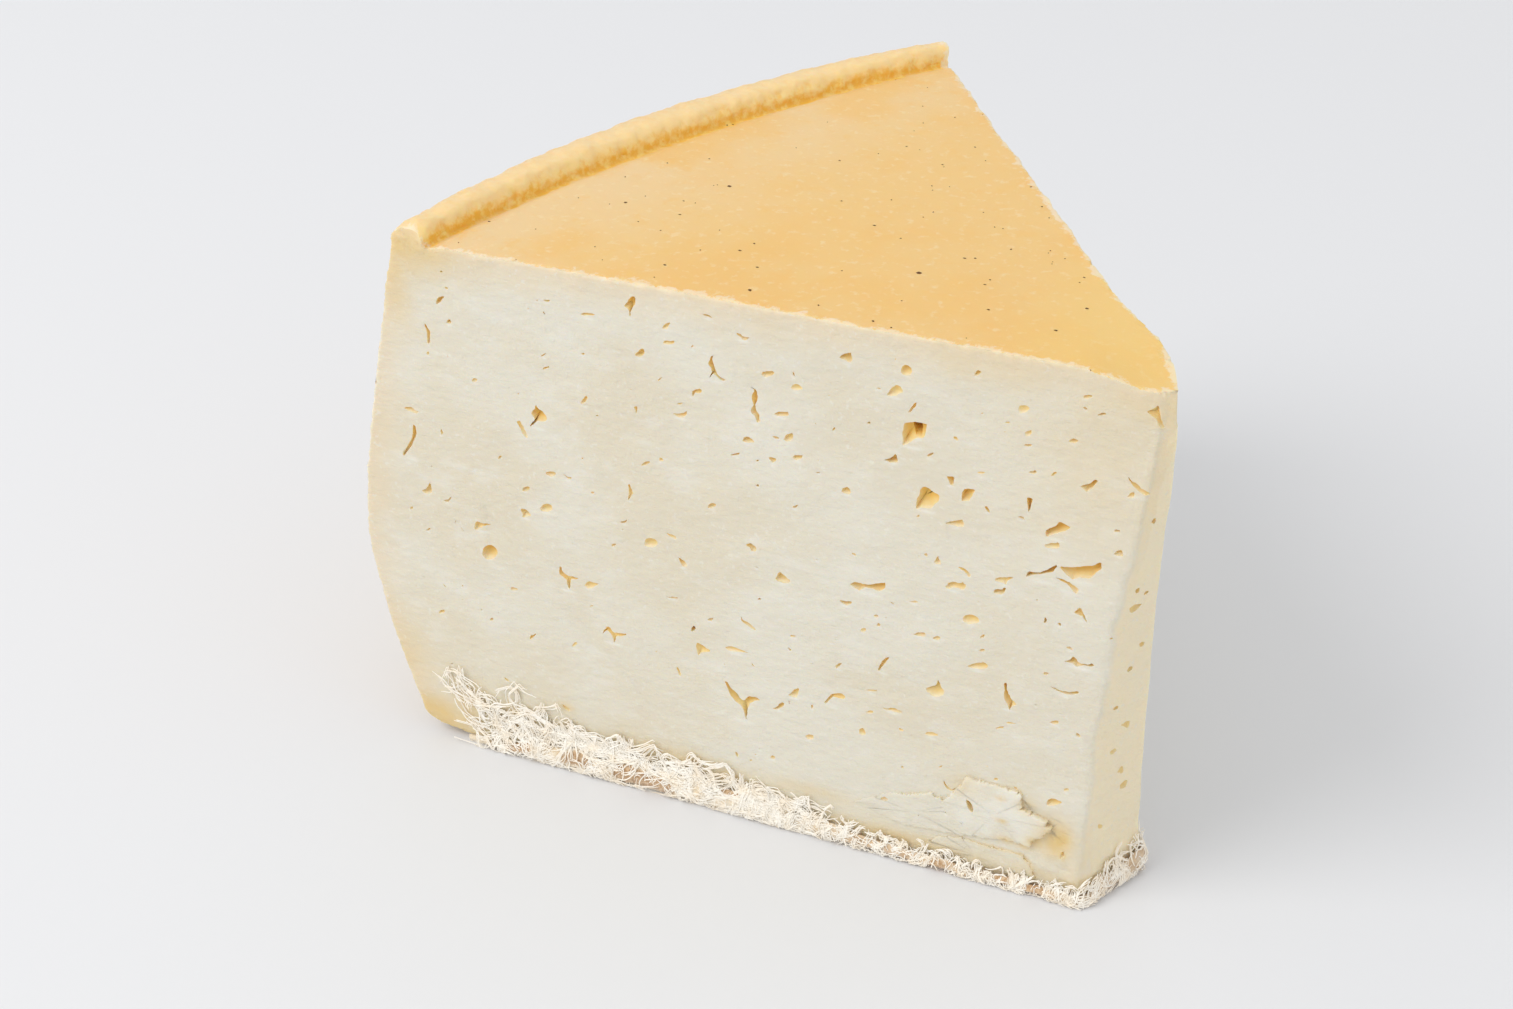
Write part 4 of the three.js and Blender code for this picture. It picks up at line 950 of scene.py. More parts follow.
class Finish:
    """One material and the nodes behind it."""

    def __init__(self, name, roughness, specular):
        self.material = plain_material(name, (1, 1, 1, 1), roughness, specular)
        self.tree = self.material.node_tree
        self.shader = self.tree.nodes["Principled BSDF"]

    def node(self, kind, settings=None, values=None, output=0):
        """Adds a node: its settings first, then the values or links of its sockets."""
        made = self.tree.nodes.new(kind)
        for name, setting in (settings or {}).items():
            setattr(made, name, setting)
        for socket, value in (values or {}).items():
            self.feed(made.inputs[socket], value)
        return Grade(self, made.outputs[output])

    def feed(self, socket, value):
        if isinstance(value, Grade):
            self.tree.links.new(value.socket, socket)
        else:
            socket.default_value = value

    def place(self):
        """The point on the part, in metres from its own origin."""
        return self.node("ShaderNodeTexCoord", output="Object")

    def stretched(self, scale, turn):
        """The same point turned and scaled, which draws the noise there out into streaks."""
        values = {"Vector": self.place(), "Rotation": turn, "Scale": scale}
        return self.node("ShaderNodeMapping", None, values)

    def cloud(self, size, detail=3.0, contrast=0.5, at=None):
        """Soft noise about 0.5, its lumps about size millimetres."""
        values = {"Vector": at or self.place(), "Scale": 1 / (size * MM)}
        values |= {"Detail": detail, "Roughness": contrast}
        return self.node("ShaderNodeTexNoise", None, values)

    def told(self, name):
        """A number that the mesh carries under that name."""
        return self.node("ShaderNodeAttribute", {"attribute_name": name}, output="Fac")

    def blend(self, share, first, second):
        """The first colour where share is 0 and the second where it is 1."""
        settings = {"data_type": "RGBA", "clamp_factor": True}
        return self.node("ShaderNodeMix", settings, {0: share, 6: first, 7: second}, output=2)

    def colour(self, ground, *layers):
        """Colours the surface: a ground colour, then each further colour by its share."""
        for share, layer in layers:
            ground = self.blend(share, ground, layer)
        self.feed(self.shader.inputs["Base Color"], ground)

    def relief(self, height, depth):
        """A fine relief of that depth in millimetres where height goes from 0 to 1."""
        values = {"Height": height, "Distance": depth * MM, "Strength": 1.0}
        self.feed(self.shader.inputs["Normal"], self.node("ShaderNodeBump", None, values))

    def soak(self, weight, radius, size):
        """Light that sinks in and comes out again nearby, up to size millimetres away."""
        self.shader.inputs["Subsurface Weight"].default_value = weight
        self.shader.inputs["Subsurface Radius"].default_value = radius
        self.shader.inputs["Subsurface Scale"].default_value = size * MM


def paste_finish():
    """Pale, smooth and moist paste, a little deeper in colour under the rind and at the foot."""
    finish = Finish("paste", 0.46, 0.32)
    from_rind, from_base = finish.told("from_rind"), finish.told("from_base")
    smear = finish.cloud(7.0, 4.0, 0.6, finish.stretched((1.0, 1.0, 2.0), DRAG_TURN))
    under_rind = (from_rind + finish.cloud(6.0) * 5.0).step(10.5, 2.2)
    at_foot = (from_base + finish.cloud(7.0) * 6.0).step(11.5, 2.5)
    finish.colour(
        CREAMY,
        (finish.cloud(24.0, 2.0).step(0.36, 0.64), PALE),
        (smear.step(0.5, 0.7) * 0.4, SMEARED),
        (under_rind * 0.55, TAN),
        (at_foot * 0.55, GOLDEN),
        (under_rind * at_foot * 0.8, BROWNISH),
        (finish.told("near_point") * 0.25, PALE),
        # The narrow cut's paste, waxy and painted lighter, as if more light fell on it.
        (finish.told("at_point") * (0.6 + 0.4 * finish.cloud(5.0)), WAXY_LIT_PASTE),
        (from_rind.step(0.55, 0.1) * 0.5, DRIED),
        (finish.told("rim_height").step(-0.4, 0.3) * 0.75, UNDER_RIM),
        (finish.cloud(0.9, 2.0).step(0.62, 0.7) * 0.45, SMEARED),
        # Chalky paste on the flakes and crumbs, and a painted highlight under each opening.
        (finish.told("pale_and_highlight").step(0.3, 0.95) * 0.5, CHALKY_AND_HIGHLIGHT),
        # Golden whey staining, and painted golden shade round the flakes.
        (finish.told("stained_and_shaded") * (0.5 + finish.cloud(3.0)), WHEY_AND_SHADE),
    )
    drag = finish.cloud(3.4, 3.0, 0.55, finish.stretched((1.0, 1.0, 2.6), DRAG_TURN))
    finish.relief(drag * 0.6 + finish.cloud(1.3, 4.0, 0.6) * 0.6 + finish.cloud(0.4, 2.0) * 0.12, 0.34)
    finish.soak(0.35, (1.0, 0.75, 0.45), 1.6)
    return finish.material


def opening_finish():
    """The skin inside an opening: golden, with painted shade that deepens further in and up its upper wall.
    """
    finish = Finish("opening", 0.5, 0.3)
    # Painted shade: the further in and the higher up an opening, the deeper the colour.
    painted_shade = finish.told("from_cut") + finish.told("upper") * 0.8 + finish.cloud(1.2) * 0.35
    layers = [(painted_shade.step(low, high), colour) for low, high, colour in OPENING_SHADE_DEPTHS]
    finish.colour(OPENING_MOUTH, *layers)
    finish.relief(finish.cloud(0.7, 3.0), 0.08)
    finish.soak(0.4, (1.0, 0.7, 0.35), 1.6)
    return finish.material


def rind_finish():
    """Thin, waxy, orange rind: smooth on top, peach on the rim, grainy orange in the groove."""
    finish = Finish("rind", 0.45, 0.22)
    across_rim, rim_height = finish.told("across_rim"), finish.told("rim_height")
    grainy = finish.cloud(1.3, 3.0, 0.6)

    def lumpy(measure, height, *cloud):
        """The measure made uneven by up to half the height either way."""
        return measure + (finish.cloud(*cloud) - 0.5) * height

    crest = across_rim.step(1.08, 0.9)
    shoulder = rim_height.step(1.4, 0.8) * across_rim.step(0.25, 0.6) * crest
    wall = lumpy(rim_height, 1.2, 2.2, 4.0, 0.6).step(0.95, 0.35) * across_rim.step(0.35, 0.75)
    groove = lumpy(rim_height, 1.8, 2.6, 5.0, 0.65).step(0.75, 0.0) * across_rim.step(0.5, 0.8)
    groove = groove * lumpy(across_rim, 0.4, 3.0, 3.0).step(1.15, 1.0)
    finish.colour(
        HONEY,
        ((across_rim + finish.cloud(14.0) * 3.0).step(7.0, 2.0) * 0.8, PEACH),
        (finish.cloud(22.0, 3.0).step(0.45, 0.66) * 0.7, DEEP_HONEY),
        (finish.cloud(4.2, 5.0, 0.65).step(0.5, 0.72) * 0.5, DEEP_HONEY),
        (finish.cloud(1.6, 4.0, 0.6).step(0.54, 0.72) * 0.45, BUFF),
        (crest, finish.blend(grainy.step(0.35, 0.7), CREST_DARK, CREST_LIGHT)),
        (shoulder * 0.75, SHOULDER),
        (wall * crest * 0.85, WALL),
        (groove, finish.blend(grainy.step(0.42, 0.66), GROOVE_DARK, GROOVE_LIGHT)),
        (finish.told("near_point").step(0.7, 1.0) * 0.5, AMBER),
        (finish.told("from_base").step(12, 3) * 0.6, FOOT),
        (lumpy(finish.told("from_cut"), 8.0, 3.2, 6.0, 0.7).step(0.9, 0.1) * 0.55, CUT_EDGE),
    )
    lumps = finish.cloud(3.0, 4.0, 0.6) * 0.7 + grainy * (crest * 0.6 + 0.12)
    finish.relief(lumps + finish.cloud(0.5, 2.0) * 0.1, 0.12)
    finish.soak(0.4, (1.0, 0.6, 0.3), 2.0)
    return finish.material


def points_of(mesh):
    """The mesh's points in millimetres from the sharp point."""
    points = np.empty(len(mesh.vertices) * 3)
    mesh.vertices.foreach_get("co", points)
    return points.reshape(-1, 3) / MM - SHARP_POINT


def move_points(mesh, points):
    mesh.vertices.foreach_set("co", ((points + SHARP_POINT) * MM).ravel())


def tell(mesh, name, values):
    """Gives the mesh a number at each point, for its finish to read."""
    mesh.attributes.new(name, "FLOAT", "POINT").data.foreach_set("value", values.astype(np.float32))


def behind_cuts(points):
    """How far each point lies behind the broad, the far and the narrow cut."""
    x, y, z = points.T
    from_start = points[:, :2] - FAR_START
    behind_far = FAR_LEAN * (1 - z / TOP) + far_swell(from_start @ FAR_DIRECTION, z) - from_start @ FAR_NORMAL
    near_edge, far_edge = tip_edges(z)
    near_corner = on_near(near_edge, z)[:, :2]
    across = on_far(far_edge, z, far_swell(far_edge, z))[:, :2] - near_corner
    across /= np.linalg.norm(across, axis=1)[:, None]
    facing = np.column_stack([across[:, 1], -across[:, 0]])
    return y, behind_far, -np.sum((points[:, :2] - near_corner) * facing, 1)


def inside_rind(points):
    """Each point's distance from the side, and how far across the rim it is, 1 being the groove."""
    plan = points[:, :2] - WHEEL_AXIS
    radius = np.linalg.norm(plan, axis=1)
    arc = RIM_RADIUS * (math.pi - np.abs(np.arctan2(plan[:, 1], plan[:, 0])))
    side = side_line()
    flattened = inwards(np.full_like(radius, RIM_RADIUS), arc)
    rim_width = RIM_END_WIDTH + between_cuts(arc) * (RIM_WIDTH - RIM_END_WIDTH)
    side_radius = np.interp(points[:, 2], side[:, 1], side[:, 0])
    return side_radius - flattened - radius, (RIM_RADIUS - flattened - radius) / rim_width


def soften_edges(mesh):
    """Rubs the edges between the cuts and the rind round, with a slight crumble."""
    points = points_of(mesh)
    from_side, across_rim = inside_rind(points)
    from_rind = np.minimum(from_side, np.where(across_rim > 1, TOP - points[:, 2], 9))
    behind_near, behind_far, behind_tip = behind_cuts(points)
    from_cut = np.min([behind_near, behind_far, behind_tip], axis=0)
    near_edge = (from_cut < EDGE_SOFTNESS) & (from_rind < EDGE_SOFTNESS)
    near_edge |= np.maximum(behind_near, behind_tip) < POINT_SOFTNESS
    edges = np.empty(len(mesh.edges) * 2, int)
    mesh.edges.foreach_get("vertices", edges)
    edges = edges.reshape(-1, 2)
    edges = edges[near_edge[edges].any(1)]
    for _ in range(EDGE_RUBS):
        total, count = np.zeros_like(points), np.zeros(len(points))
        for here, there in (edges.T, edges.T[::-1]):
            np.add.at(total, here, points[there])
            np.add.at(count, here, 1)
        moved = near_edge & (count > 0)
        points[moved] = 0.5 * points[moved] + 0.5 * total[moved] / count[moved][:, None]
    crumble = grains(points[near_edge], EDGE_GRAIN)
    points[near_edge] += crumble[:, None] * (0, -0.6, 0.8)
    move_points(mesh, points)


def stains_and_shade_of(points, draw):
    """How golden each point is: whey staining and painted golden shade, in patches and along the seams of the
    flakes.
    """
    x, y, z = points.T
    stains_and_shade = np.zeros(len(points))
    for *patch, strength in STAINS_AND_SHADE:
        stains_and_shade = np.maximum(stains_and_shade, strength * oval(x, z, *patch) * (y < 2))
    for strength, (_, _, *numbers) in zip(SEAM_STRENGTHS, FLAKES):
        outline = finely_drawn(outline_of(numbers), draw)
        left_end, right_end = outline[:, 0].min(), outline[:, 0].max()
        near = np.flatnonzero((np.abs(y) < 2) & (x > left_end - 1) & (z < 22))
        gap = np.linalg.norm(points[near][:, None, ::2] - outline[None], axis=2).min(1)
        seam = strength * (1 - smoothstep(gap, *SEAM_REACH)) * (1 - smoothstep(-y[near], 0.15, 0.4))
        stains_and_shade[near] = np.maximum(stains_and_shade[near], seam * smoothstep(x[near], left_end, right_end))
    return stains_and_shade


def round_openings(plugs, points):
    """How much each point is pale crumb, flake or painted highlight under an opening, and how high it lies
    inside one, for painted shade.
    """
    pale_and_highlights, upper = np.zeros(len(points)), np.zeros(len(points))
    on_cut = np.flatnonzero(np.abs(points[:, 1]) < 5)
    x, y, z = points[on_cut].T
    for _, _, rings in plugs:
        outline = rings[0]
        wide, low, high = 0.5 * np.ptp(outline[:, 0]), outline[:, 1].min(), outline[:, 1].max()
        across = (x - outline[:, 0].mean()) / (wide + 0.3)
        under = (z - (low - 0.2)) / (0.25 + 0.15 * wide)
        # A pale patch under each opening: smeared paste, painted lighter as a highlight where its edge
        # catches the light.
        pale_and_highlights[on_cut] = np.maximum(pale_and_highlights[on_cut], np.exp(-across**2 - under**2) * (np.abs(y) < 0.6))
        # The higher up inside an opening, the more painted shade its wall gets.
        inside = (np.abs(across) < 1.2) & (z > low - 0.3) & (z < high + 0.3) & (y > -0.2)
        upper[on_cut] = np.maximum(upper[on_cut], inside * smoothstep(z, low, high))
    pale_and_highlights[on_cut] = np.maximum(pale_and_highlights[on_cut], 0.9 * smoothstep(-y, 0.25, 0.6) * (z > 9))
    behind_tip = behind_cuts(points)[2]
    # Points by the narrow cut get half that painted shade.
    upper = np.maximum(upper, 0.5 * ((behind_tip < 3) & (behind_tip < points[:, 1])))
    crumbly = grains(points, CRUMB_GRAIN, 1)
    for patch in PALE_CRUMBS:
        crumbs = oval(points[:, 0], points[:, 2], *patch) * (points[:, 1] < 2) * crumbly
        pale_and_highlights = np.maximum(pale_and_highlights, 0.85 * crumbs)
    return pale_and_highlights, upper


cheese = wheel_slice()
knife = knife_wedge()
for material in (rind_finish(), paste_finish(), opening_finish()):
    cheese.data.materials.append(material)
    knife.data.materials.append(material)
knife.data.polygons.foreach_set("material_index", [PASTE] * len(knife.data.polygons))
carve(cheese, knife, "INTERSECT")
cheese.name = "cheese_body"
soften_edges(cheese.data)
openings_draw = np.random.default_rng(3)
near_plugs = plugs_on_near(openings_draw)
bed_depth, *bed_numbers = FLAKE_BED
bed = plug(finely_drawn(outline_of(bed_numbers), openings_draw), bed_depth, openings_draw)
open_up(cheese, [bed], lambda x, z, proud: on_near(-x, z, proud), PASTE)
for left, right, *numbers in FLAKES:
    flake = flake_rings(left, right, outline_of(numbers), openings_draw)
    carve(cheese, shaped("flake", PASTE, cheese.data.materials, [flake]), "UNION")
open_up(cheese, near_plugs, lambda x, z, proud: on_near(-x, z, proud), OPENING)
open_up(cheese, plugs_on_far(), lambda x, z, proud: on_far(-x, z, proud), OPENING)
open_up(cheese, plugs_on_tip(openings_draw), on_tip, OPENING)
shade_smooth(cheese, SHARP_ANGLE)

cheese_points = points_of(cheese.data)
up_from_top = cheese_points[:, 2] - TOP
from_side, across_rim = inside_rind(cheese_points)
behind_near, behind_far, behind_tip = behind_cuts(cheese_points)
pale_and_highlights, upper = round_openings(near_plugs, cheese_points)
told = {
    "from_cut": np.min([behind_near, behind_far, behind_tip], axis=0),
    "from_rind": np.minimum(from_side, np.where(across_rim < 1.15, 9, -up_from_top)),
    "from_base": cheese_points[:, 2] - BASE,
    "across_rim": np.where(up_from_top > -6, across_rim, 0),
    "rim_height": up_from_top / RIM_HEIGHT,
    "at_point": (1 - smoothstep(behind_tip, *WAXY_LIT_FROM_TIP)) * smoothstep(behind_near, *WAXY_LIT_FROM_NEAR),
    "near_point": smoothstep(cheese_points[:, 0], PALER_FROM, PALER_TO),
    "stained_and_shaded": stains_and_shade_of(cheese_points, openings_draw),
    "pale_and_highlight": pale_and_highlights,
    "upper": upper,
}
for name, values in told.items():
    tell(cheese.data, name, values)

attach(cheese, "root")
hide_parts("cheese")


# ---- The specks on the rind -----------------------------------------------------
# Dark brown flecks of dried mould that the brushing left on the top, most of them
# finer than a pinhead.

# The larger specks: x, distance behind the broad cut, and radius.
LARGE_SPECKS = [
    (-84.5, 38.5, 0.34), (-97, 26, 0.32), (-44.5, 19.5, 0.34), (-40, 27, 0.3), (-65.5, 4.5, 0.3),
    (-81, 7.5, 0.28), (-18, 18, 0.28), (-20, 9.5, 0.26), (-57, 33, 0.26), (-72, 55, 0.28), (-103, 58, 0.3),
    (-31, 12, 0.24),
]
SMALL_SPECKS = 75
SPECK_FIELD = (-130, 95)
SPECK_LEAST, SPECK_SPREAD = 0.09, 0.14
SPECK_ANGLES = np.linspace(0, 2 * math.pi, 6, endpoint=False)
# Each ring of a speck: its size and its height over the rind.
SPECK_RINGS = [(1, -0.3), (1, 0.03), (0.6, 0.08)]
SPECK_COLOUR = (0.13, 0.06, 0.02, 1)
SPECK_ROUGHNESS = 0.7


def specks():
    """Flat specks, each set where a line from above meets the rind."""
    draw = np.random.default_rng(31)
    length, width = SPECK_FIELD
    places = list(LARGE_SPECKS)
    for _ in range(3 * SMALL_SPECKS):
        x, y = length * draw.random(), width * draw.random()
        places.append((x, y, SPECK_LEAST + SPECK_SPREAD * draw.random() ** 2))
    parts = []
    for x, y, radius in places:
        start = (np.array([x, y, TOP + 9]) + SHARP_POINT) * MM
        hit, spot, _, face = cheese.ray_cast(start, (0, 0, -1))
        if len(parts) == len(LARGE_SPECKS) + SMALL_SPECKS:
            break
        on_rind = hit and cheese.data.polygons[face].material_index == RIND
        if not on_rind or abs(spot.z / MM - TOP + 0.6) > 1.6:
            continue
        middle = np.array(spot) / MM - SHARP_POINT
        reach = radius * (1 + 0.3 * draw.normal(size=len(SPECK_ANGLES)))
        ring_x, ring_y = reach * np.cos(SPECK_ANGLES), reach * np.sin(SPECK_ANGLES) * draw.uniform(0.5, 1)
        ring = np.column_stack([ring_x, ring_y, 0 * reach])
        parts.append([middle + ring * size + (0, 0, up) for size, up in SPECK_RINGS])
    return shaped("rind_specks", 0, [plain_material("speck", SPECK_COLOUR, SPECK_ROUGHNESS)], parts)


rind_specks = specks()
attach(rind_specks, "root")


# ---- The cheesecloth ------------------------------------------------------------
# The round of undyed cotton gauze that lined the mould, still under the wedge and
# cut with it. Its cut edge has matted and turned up a little against the foot.

CLOTH_THICKNESS = 1.2
CLOTH_RADIUS = 144.0
CLOTH_ARC_STEPS = 60
NEAR_EDGE_LENGTH = 118.5
FAR_EDGE_LENGTH = 116.0
TIP_EDGE_LENGTH = 13.4
TIP_EDGE_START = NEAR_EDGE_LENGTH - TIP_NEAR[0]
FAR_EDGE_START = TIP_EDGE_START + TIP_EDGE_LENGTH
EDGE_END = FAR_EDGE_START + FAR_EDGE_LENGTH - TIP_FAR[0]
CORNER_ROUNDING = 1.6
# How high the fraying stands at each distance along the cut edge, from the rind
# of the broad cut round the point to the rind of the far cut.
FRAY_HEIGHTS = [
    (-7, 12), (-3, 14), (1, 13), (5.5, 10.5), (10.5, 12.5), (14.5, 10.5), (19.5, 10.5), (24, 8), (38, 7.6),
    (48, 7.8), (54, 6.8), (68.5, 5.8), (73.5, 4.4), (88, 3.5), (103, 2.8), (110, 2.9), (113, 5.5), (123, 8),
    (127, 6), (134, 3.2), (170, 3.2), (190, 5.5), (210, 7.5), (228, 9),
]
# Where the threads have worn away from the browned edge: place, height and reach.
BROWN_PATCHES = [
    (11, 2.6, 2.6), (9, 2, 2), (19.5, 2.6, 2.4), (22.3, 3.2, 3.2), (31, 2.8, 3.8), (34.5, 2.5, 4.2),
    (38, 2.2, 3.4), (50.2, 5, 2.6), (87, 1, 2.4), (97.5, 2.2, 1.8), (103.5, 1.4, 2),
]
# The matted edge in section: how far out and how high, as shares of its thickness
# and height above the sheet.
MAT_THICKNESS = 1.1
MAT_SECTION = [(0.3, 0.0), (0.85, 0.16), (1.0, 0.42), (0.86, 0.72), (0.55, 0.95), (0.32, 1.0)]
MAT_SECTION += [(0.22, 0.7), (0.2, 0.35)]
# How far out the threads lie on it, by height: its outer side, then free air above.
MAT_OUTSIDE = [(0, 0.3), (0.16, 0.85), (0.42, 1.0), (0.72, 0.86), (0.95, 0.6), (1.05, 0.42), (1.5, 0.0)]
# Its lumps in height and in thickness, and the grain of its surface.
MAT_LUMPS, MAT_SWELLS, MAT_GRAIN = [(0.35, 6.0, 3)], [(0.2, 4.0, 2)], [(0.2, 1.1, 3)]
MAT_END = 9.0
MAT_LEAST = 0.3
# How far under the cheese its inner edge lies.
MAT_ROOT = -0.8
# How high it stands at each distance along the cut edge.
MAT_HEIGHTS = [
    (-7, 1.5), (3, 1.8), (8, 2.6), (14, 4), (33, 4.3), (48, 4.6), (58, 4), (70, 2.8), (88, 2), (110, 1.8),
    (114, 3.2), (123, 4.4), (134, 2.1), (170, 2.1), (190, 3.4), (210, 4.5), (228, 2.5),
]
MAT_STEP = 0.3
CLOTH_SHARP_ANGLE = math.radians(60)
# The stretch of the edge towards the point is browner: where that starts and where
# it stops, and how much.
BROWN_START, BROWN_STOP, BROWN_SHARE = (56, 74), (124, 134), 0.58
CREAM, STRAW = (0.92, 0.83, 0.67, 1), (0.82, 0.67, 0.46, 1)
WORN_DARK, WORN_LIGHT = (0.46, 0.26, 0.11, 1), (0.68, 0.48, 0.28, 1)
FIBRE_TURN = (0, math.radians(12), 0)
# A faint painted glow that stands in for light scattered through the cotton and lifts its shadows.
COTTON_GLOW, COTTON_GLOW_STRENGTH = (1, 0.9, 0.76, 1), 0.04


def on_edge(run, z, proud):
    """A point at the foot of the cuts: how far along the cloth's cut edge, how high and how far out."""
    run, z, proud = np.broadcast_arrays(*(np.asarray(value, float) for value in (run, z, proud)))
    near_corner, far_corner = on_near(TIP_NEAR[0], z), on_far(TIP_FAR[0], z)
    across = far_corner - near_corner
    share = ((run - TIP_EDGE_START) / TIP_EDGE_LENGTH)[..., None]
    point = np.where(share < 1, near_corner + across * share, on_far(TIP_FAR[0] + run - FAR_EDGE_START, z))
    point = np.where(share < 0, on_near(NEAR_EDGE_LENGTH - run, z), point)
    across /= np.linalg.norm(across, axis=-1, keepdims=True)
    tip_facing = np.stack([across[..., 1], -across[..., 0], 0 * z], -1)
    first, second = (
        smoothstep(run, corner - CORNER_ROUNDING, corner + CORNER_ROUNDING)[..., None]
        for corner in (TIP_EDGE_START, FAR_EDGE_START)
    )
    near_facing, far_facing = np.array([0, -1, 0]), np.append(FAR_NORMAL, 0)
    facing = near_facing * (1 - first) + tip_facing * (first - second) + far_facing * second
    facing /= np.linalg.norm(facing, axis=-1, keepdims=True)
    return point + facing * proud[..., None]


def fray_height(run):
    return np.interp(run, *zip(*FRAY_HEIGHTS))


def mat_height(run):
    return np.interp(run, *zip(*MAT_HEIGHTS))


def lies_on_mat(run, z):
    """How far out a thread lies on the matted edge at that height."""
    up = z / np.maximum(mat_height(run), CLOTH_THICKNESS + MAT_LEAST)
    return 0.22 + MAT_THICKNESS * np.interp(up, *zip(*MAT_OUTSIDE))


def browned(run, z):
    """1 in the middle of a worn brown patch and 0 away from them."""
    shares = []
    for place, height, reach in BROWN_PATCHES:
        away = np.hypot(run - place, 1.6 * (z - height))
        shares.append(1 - smoothstep(away, 0.5 * reach, reach))
    return np.max(shares, axis=0)


def mat_rows(runs):
    """The matted edge's section, point by point, each as a row along the whole edge."""
    taper = smoothstep(runs, -0.5, MAT_END) * (1 - smoothstep(runs, EDGE_END - MAT_END, EDGE_END + 0.5))
    lumps = grains(np.column_stack([runs, 0 * runs, 0 * runs]), MAT_LUMPS, 1)
    swells = grains(np.column_stack([runs, 0 * runs + 9, 0 * runs]), MAT_SWELLS, 1)
    height = np.maximum(mat_height(runs) * lumps * (0.25 + 0.75 * taper), CLOTH_THICKNESS + MAT_LEAST)
    thick = MAT_THICKNESS * swells * (0.3 + 0.7 * taper)
    rows = [on_edge(runs, 0, MAT_ROOT), on_edge(runs, 0, 0.35)]
    for out, up in MAT_SECTION:
        z = CLOTH_THICKNESS * 0.4 + (height - CLOTH_THICKNESS * 0.4) * up
        row_grain = grains(np.column_stack([runs, z * 1.5, 0 * runs + out * 5]), MAT_GRAIN)
        rows.append(on_edge(runs, z, 0.42 + thick * out + row_grain * (0.4 + out)))
    return rows + [on_edge(runs, CLOTH_THICKNESS, 0.3), on_edge(runs, CLOTH_THICKNESS, MAT_ROOT)]


def cloth_sheet():
    """The flat sheet, with the matted edge along its cut sides, as one closed skin."""
    runs = np.arange(0, EDGE_END, MAT_STEP)
    rows = mat_rows(runs)
    section = np.array(rows)
    count, last = len(runs), len(rows) - 1
    start, end = section[0, 0, :2] - WHEEL_AXIS, section[0, -1, :2] - WHEEL_AXIS
    start_angle, end_angle = math.atan2(start[1], start[0]) % (2 * math.pi), math.atan2(end[1], end[0])
    angles = np.linspace(end_angle, start_angle, CLOTH_ARC_STEPS)[1:-1]
    arc = WHEEL_AXIS + CLOTH_RADIUS * np.column_stack([np.cos(angles), np.sin(angles)])
    points = np.vstack([
        section.reshape(-1, 3),
        np.column_stack([arc, np.zeros(len(arc))]),
        np.column_stack([arc, np.full(len(arc), CLOTH_THICKNESS)]),
    ])
    faces = []
    for row in range(last):
        low, high = row * count, (row + 1) * count
        faces += [(low + i, low + i + 1, high + i + 1, high + i) for i in range(count - 1)]
    low_arc = len(rows) * count + np.arange(len(arc))
    high_arc = low_arc + len(arc)
    low_rim = [count - 1, *low_arc, 0]
    high_rim = [last * count + count - 1, *high_arc, last * count]
    faces += [(low_rim[i], low_rim[i + 1], high_rim[i + 1], high_rim[i]) for i in range(len(low_rim) - 1)]
    faces.append([row * count for row in range(len(rows))])
    faces.append([row * count + count - 1 for row in range(len(rows) - 1, -1, -1)])
    faces.append([*range(count - 1, -1, -1), *low_arc[::-1]])
    faces.append([*range(last * count, last * count + count), *high_arc])
    sheet = mesh_object("cloth_sheet", points, [list(map(int, face)) for face in faces])
    run_of = np.append(np.tile(runs, len(rows)), np.zeros(2 * len(arc)))
    browner = BROWN_SHARE * smoothstep(run_of, *BROWN_START) * (1 - smoothstep(run_of, *BROWN_STOP))
    tell(sheet.data, "brown", np.maximum(browned(run_of, points[:, 2]), browner))
    return sheet


def cotton_finish(name, cream, straw, roughness):
    """Undyed cotton with whey staining: cream and straw, brown where it is worn, and a faint painted glow
    that lifts its shadows.
    """
    finish = Finish(name, 0.85, 0.15)
    worn = (finish.told("brown") + (finish.cloud(1.4, 4.0, 0.65) - 0.5) * 0.9).step(0.3, 0.75)
    finish.colour(
        cream,
        (finish.cloud(2.6, 4.0, 0.6).step(0.4, 0.64), straw),
        (worn, finish.blend(finish.cloud(0.7, 4.0, 0.65).step(0.42, 0.6), WORN_DARK, WORN_LIGHT)),
    )
    fibres = finish.cloud(0.4, 4.0, 0.65, finish.stretched((0.3, 0.6, 1.0), FIBRE_TURN))
    finish.relief(fibres * 0.8 + finish.cloud(0.9, 3.0, 0.6) * 0.6, roughness)
    finish.shader.inputs["Sheen Weight"].default_value = 0.6
    finish.shader.inputs["Sheen Roughness"].default_value = 0.6
    # The painted glow.
    finish.shader.inputs["Emission Color"].default_value = COTTON_GLOW
    finish.shader.inputs["Emission Strength"].default_value = COTTON_GLOW_STRENGTH
    return finish.material


cloth = cloth_sheet()
cloth.data.materials.append(cotton_finish("matted_cotton", CREAM, STRAW, 0.3))
shade_smooth(cloth, CLOTH_SHARP_ANGLE)
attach(cloth, "root")
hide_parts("cloth")


# ---- The frayed threads ------------------------------------------------------------
# The gauze's loose ends along its cut edge: long threads that came undone and
# curled up over the foot by the rind, and short stiff ends along the rest.

THREAD_RADIUS = 0.1
THREAD_SIDES = 3
THREAD_STEP = 0.6
THREAD_FLOOR = 0.15
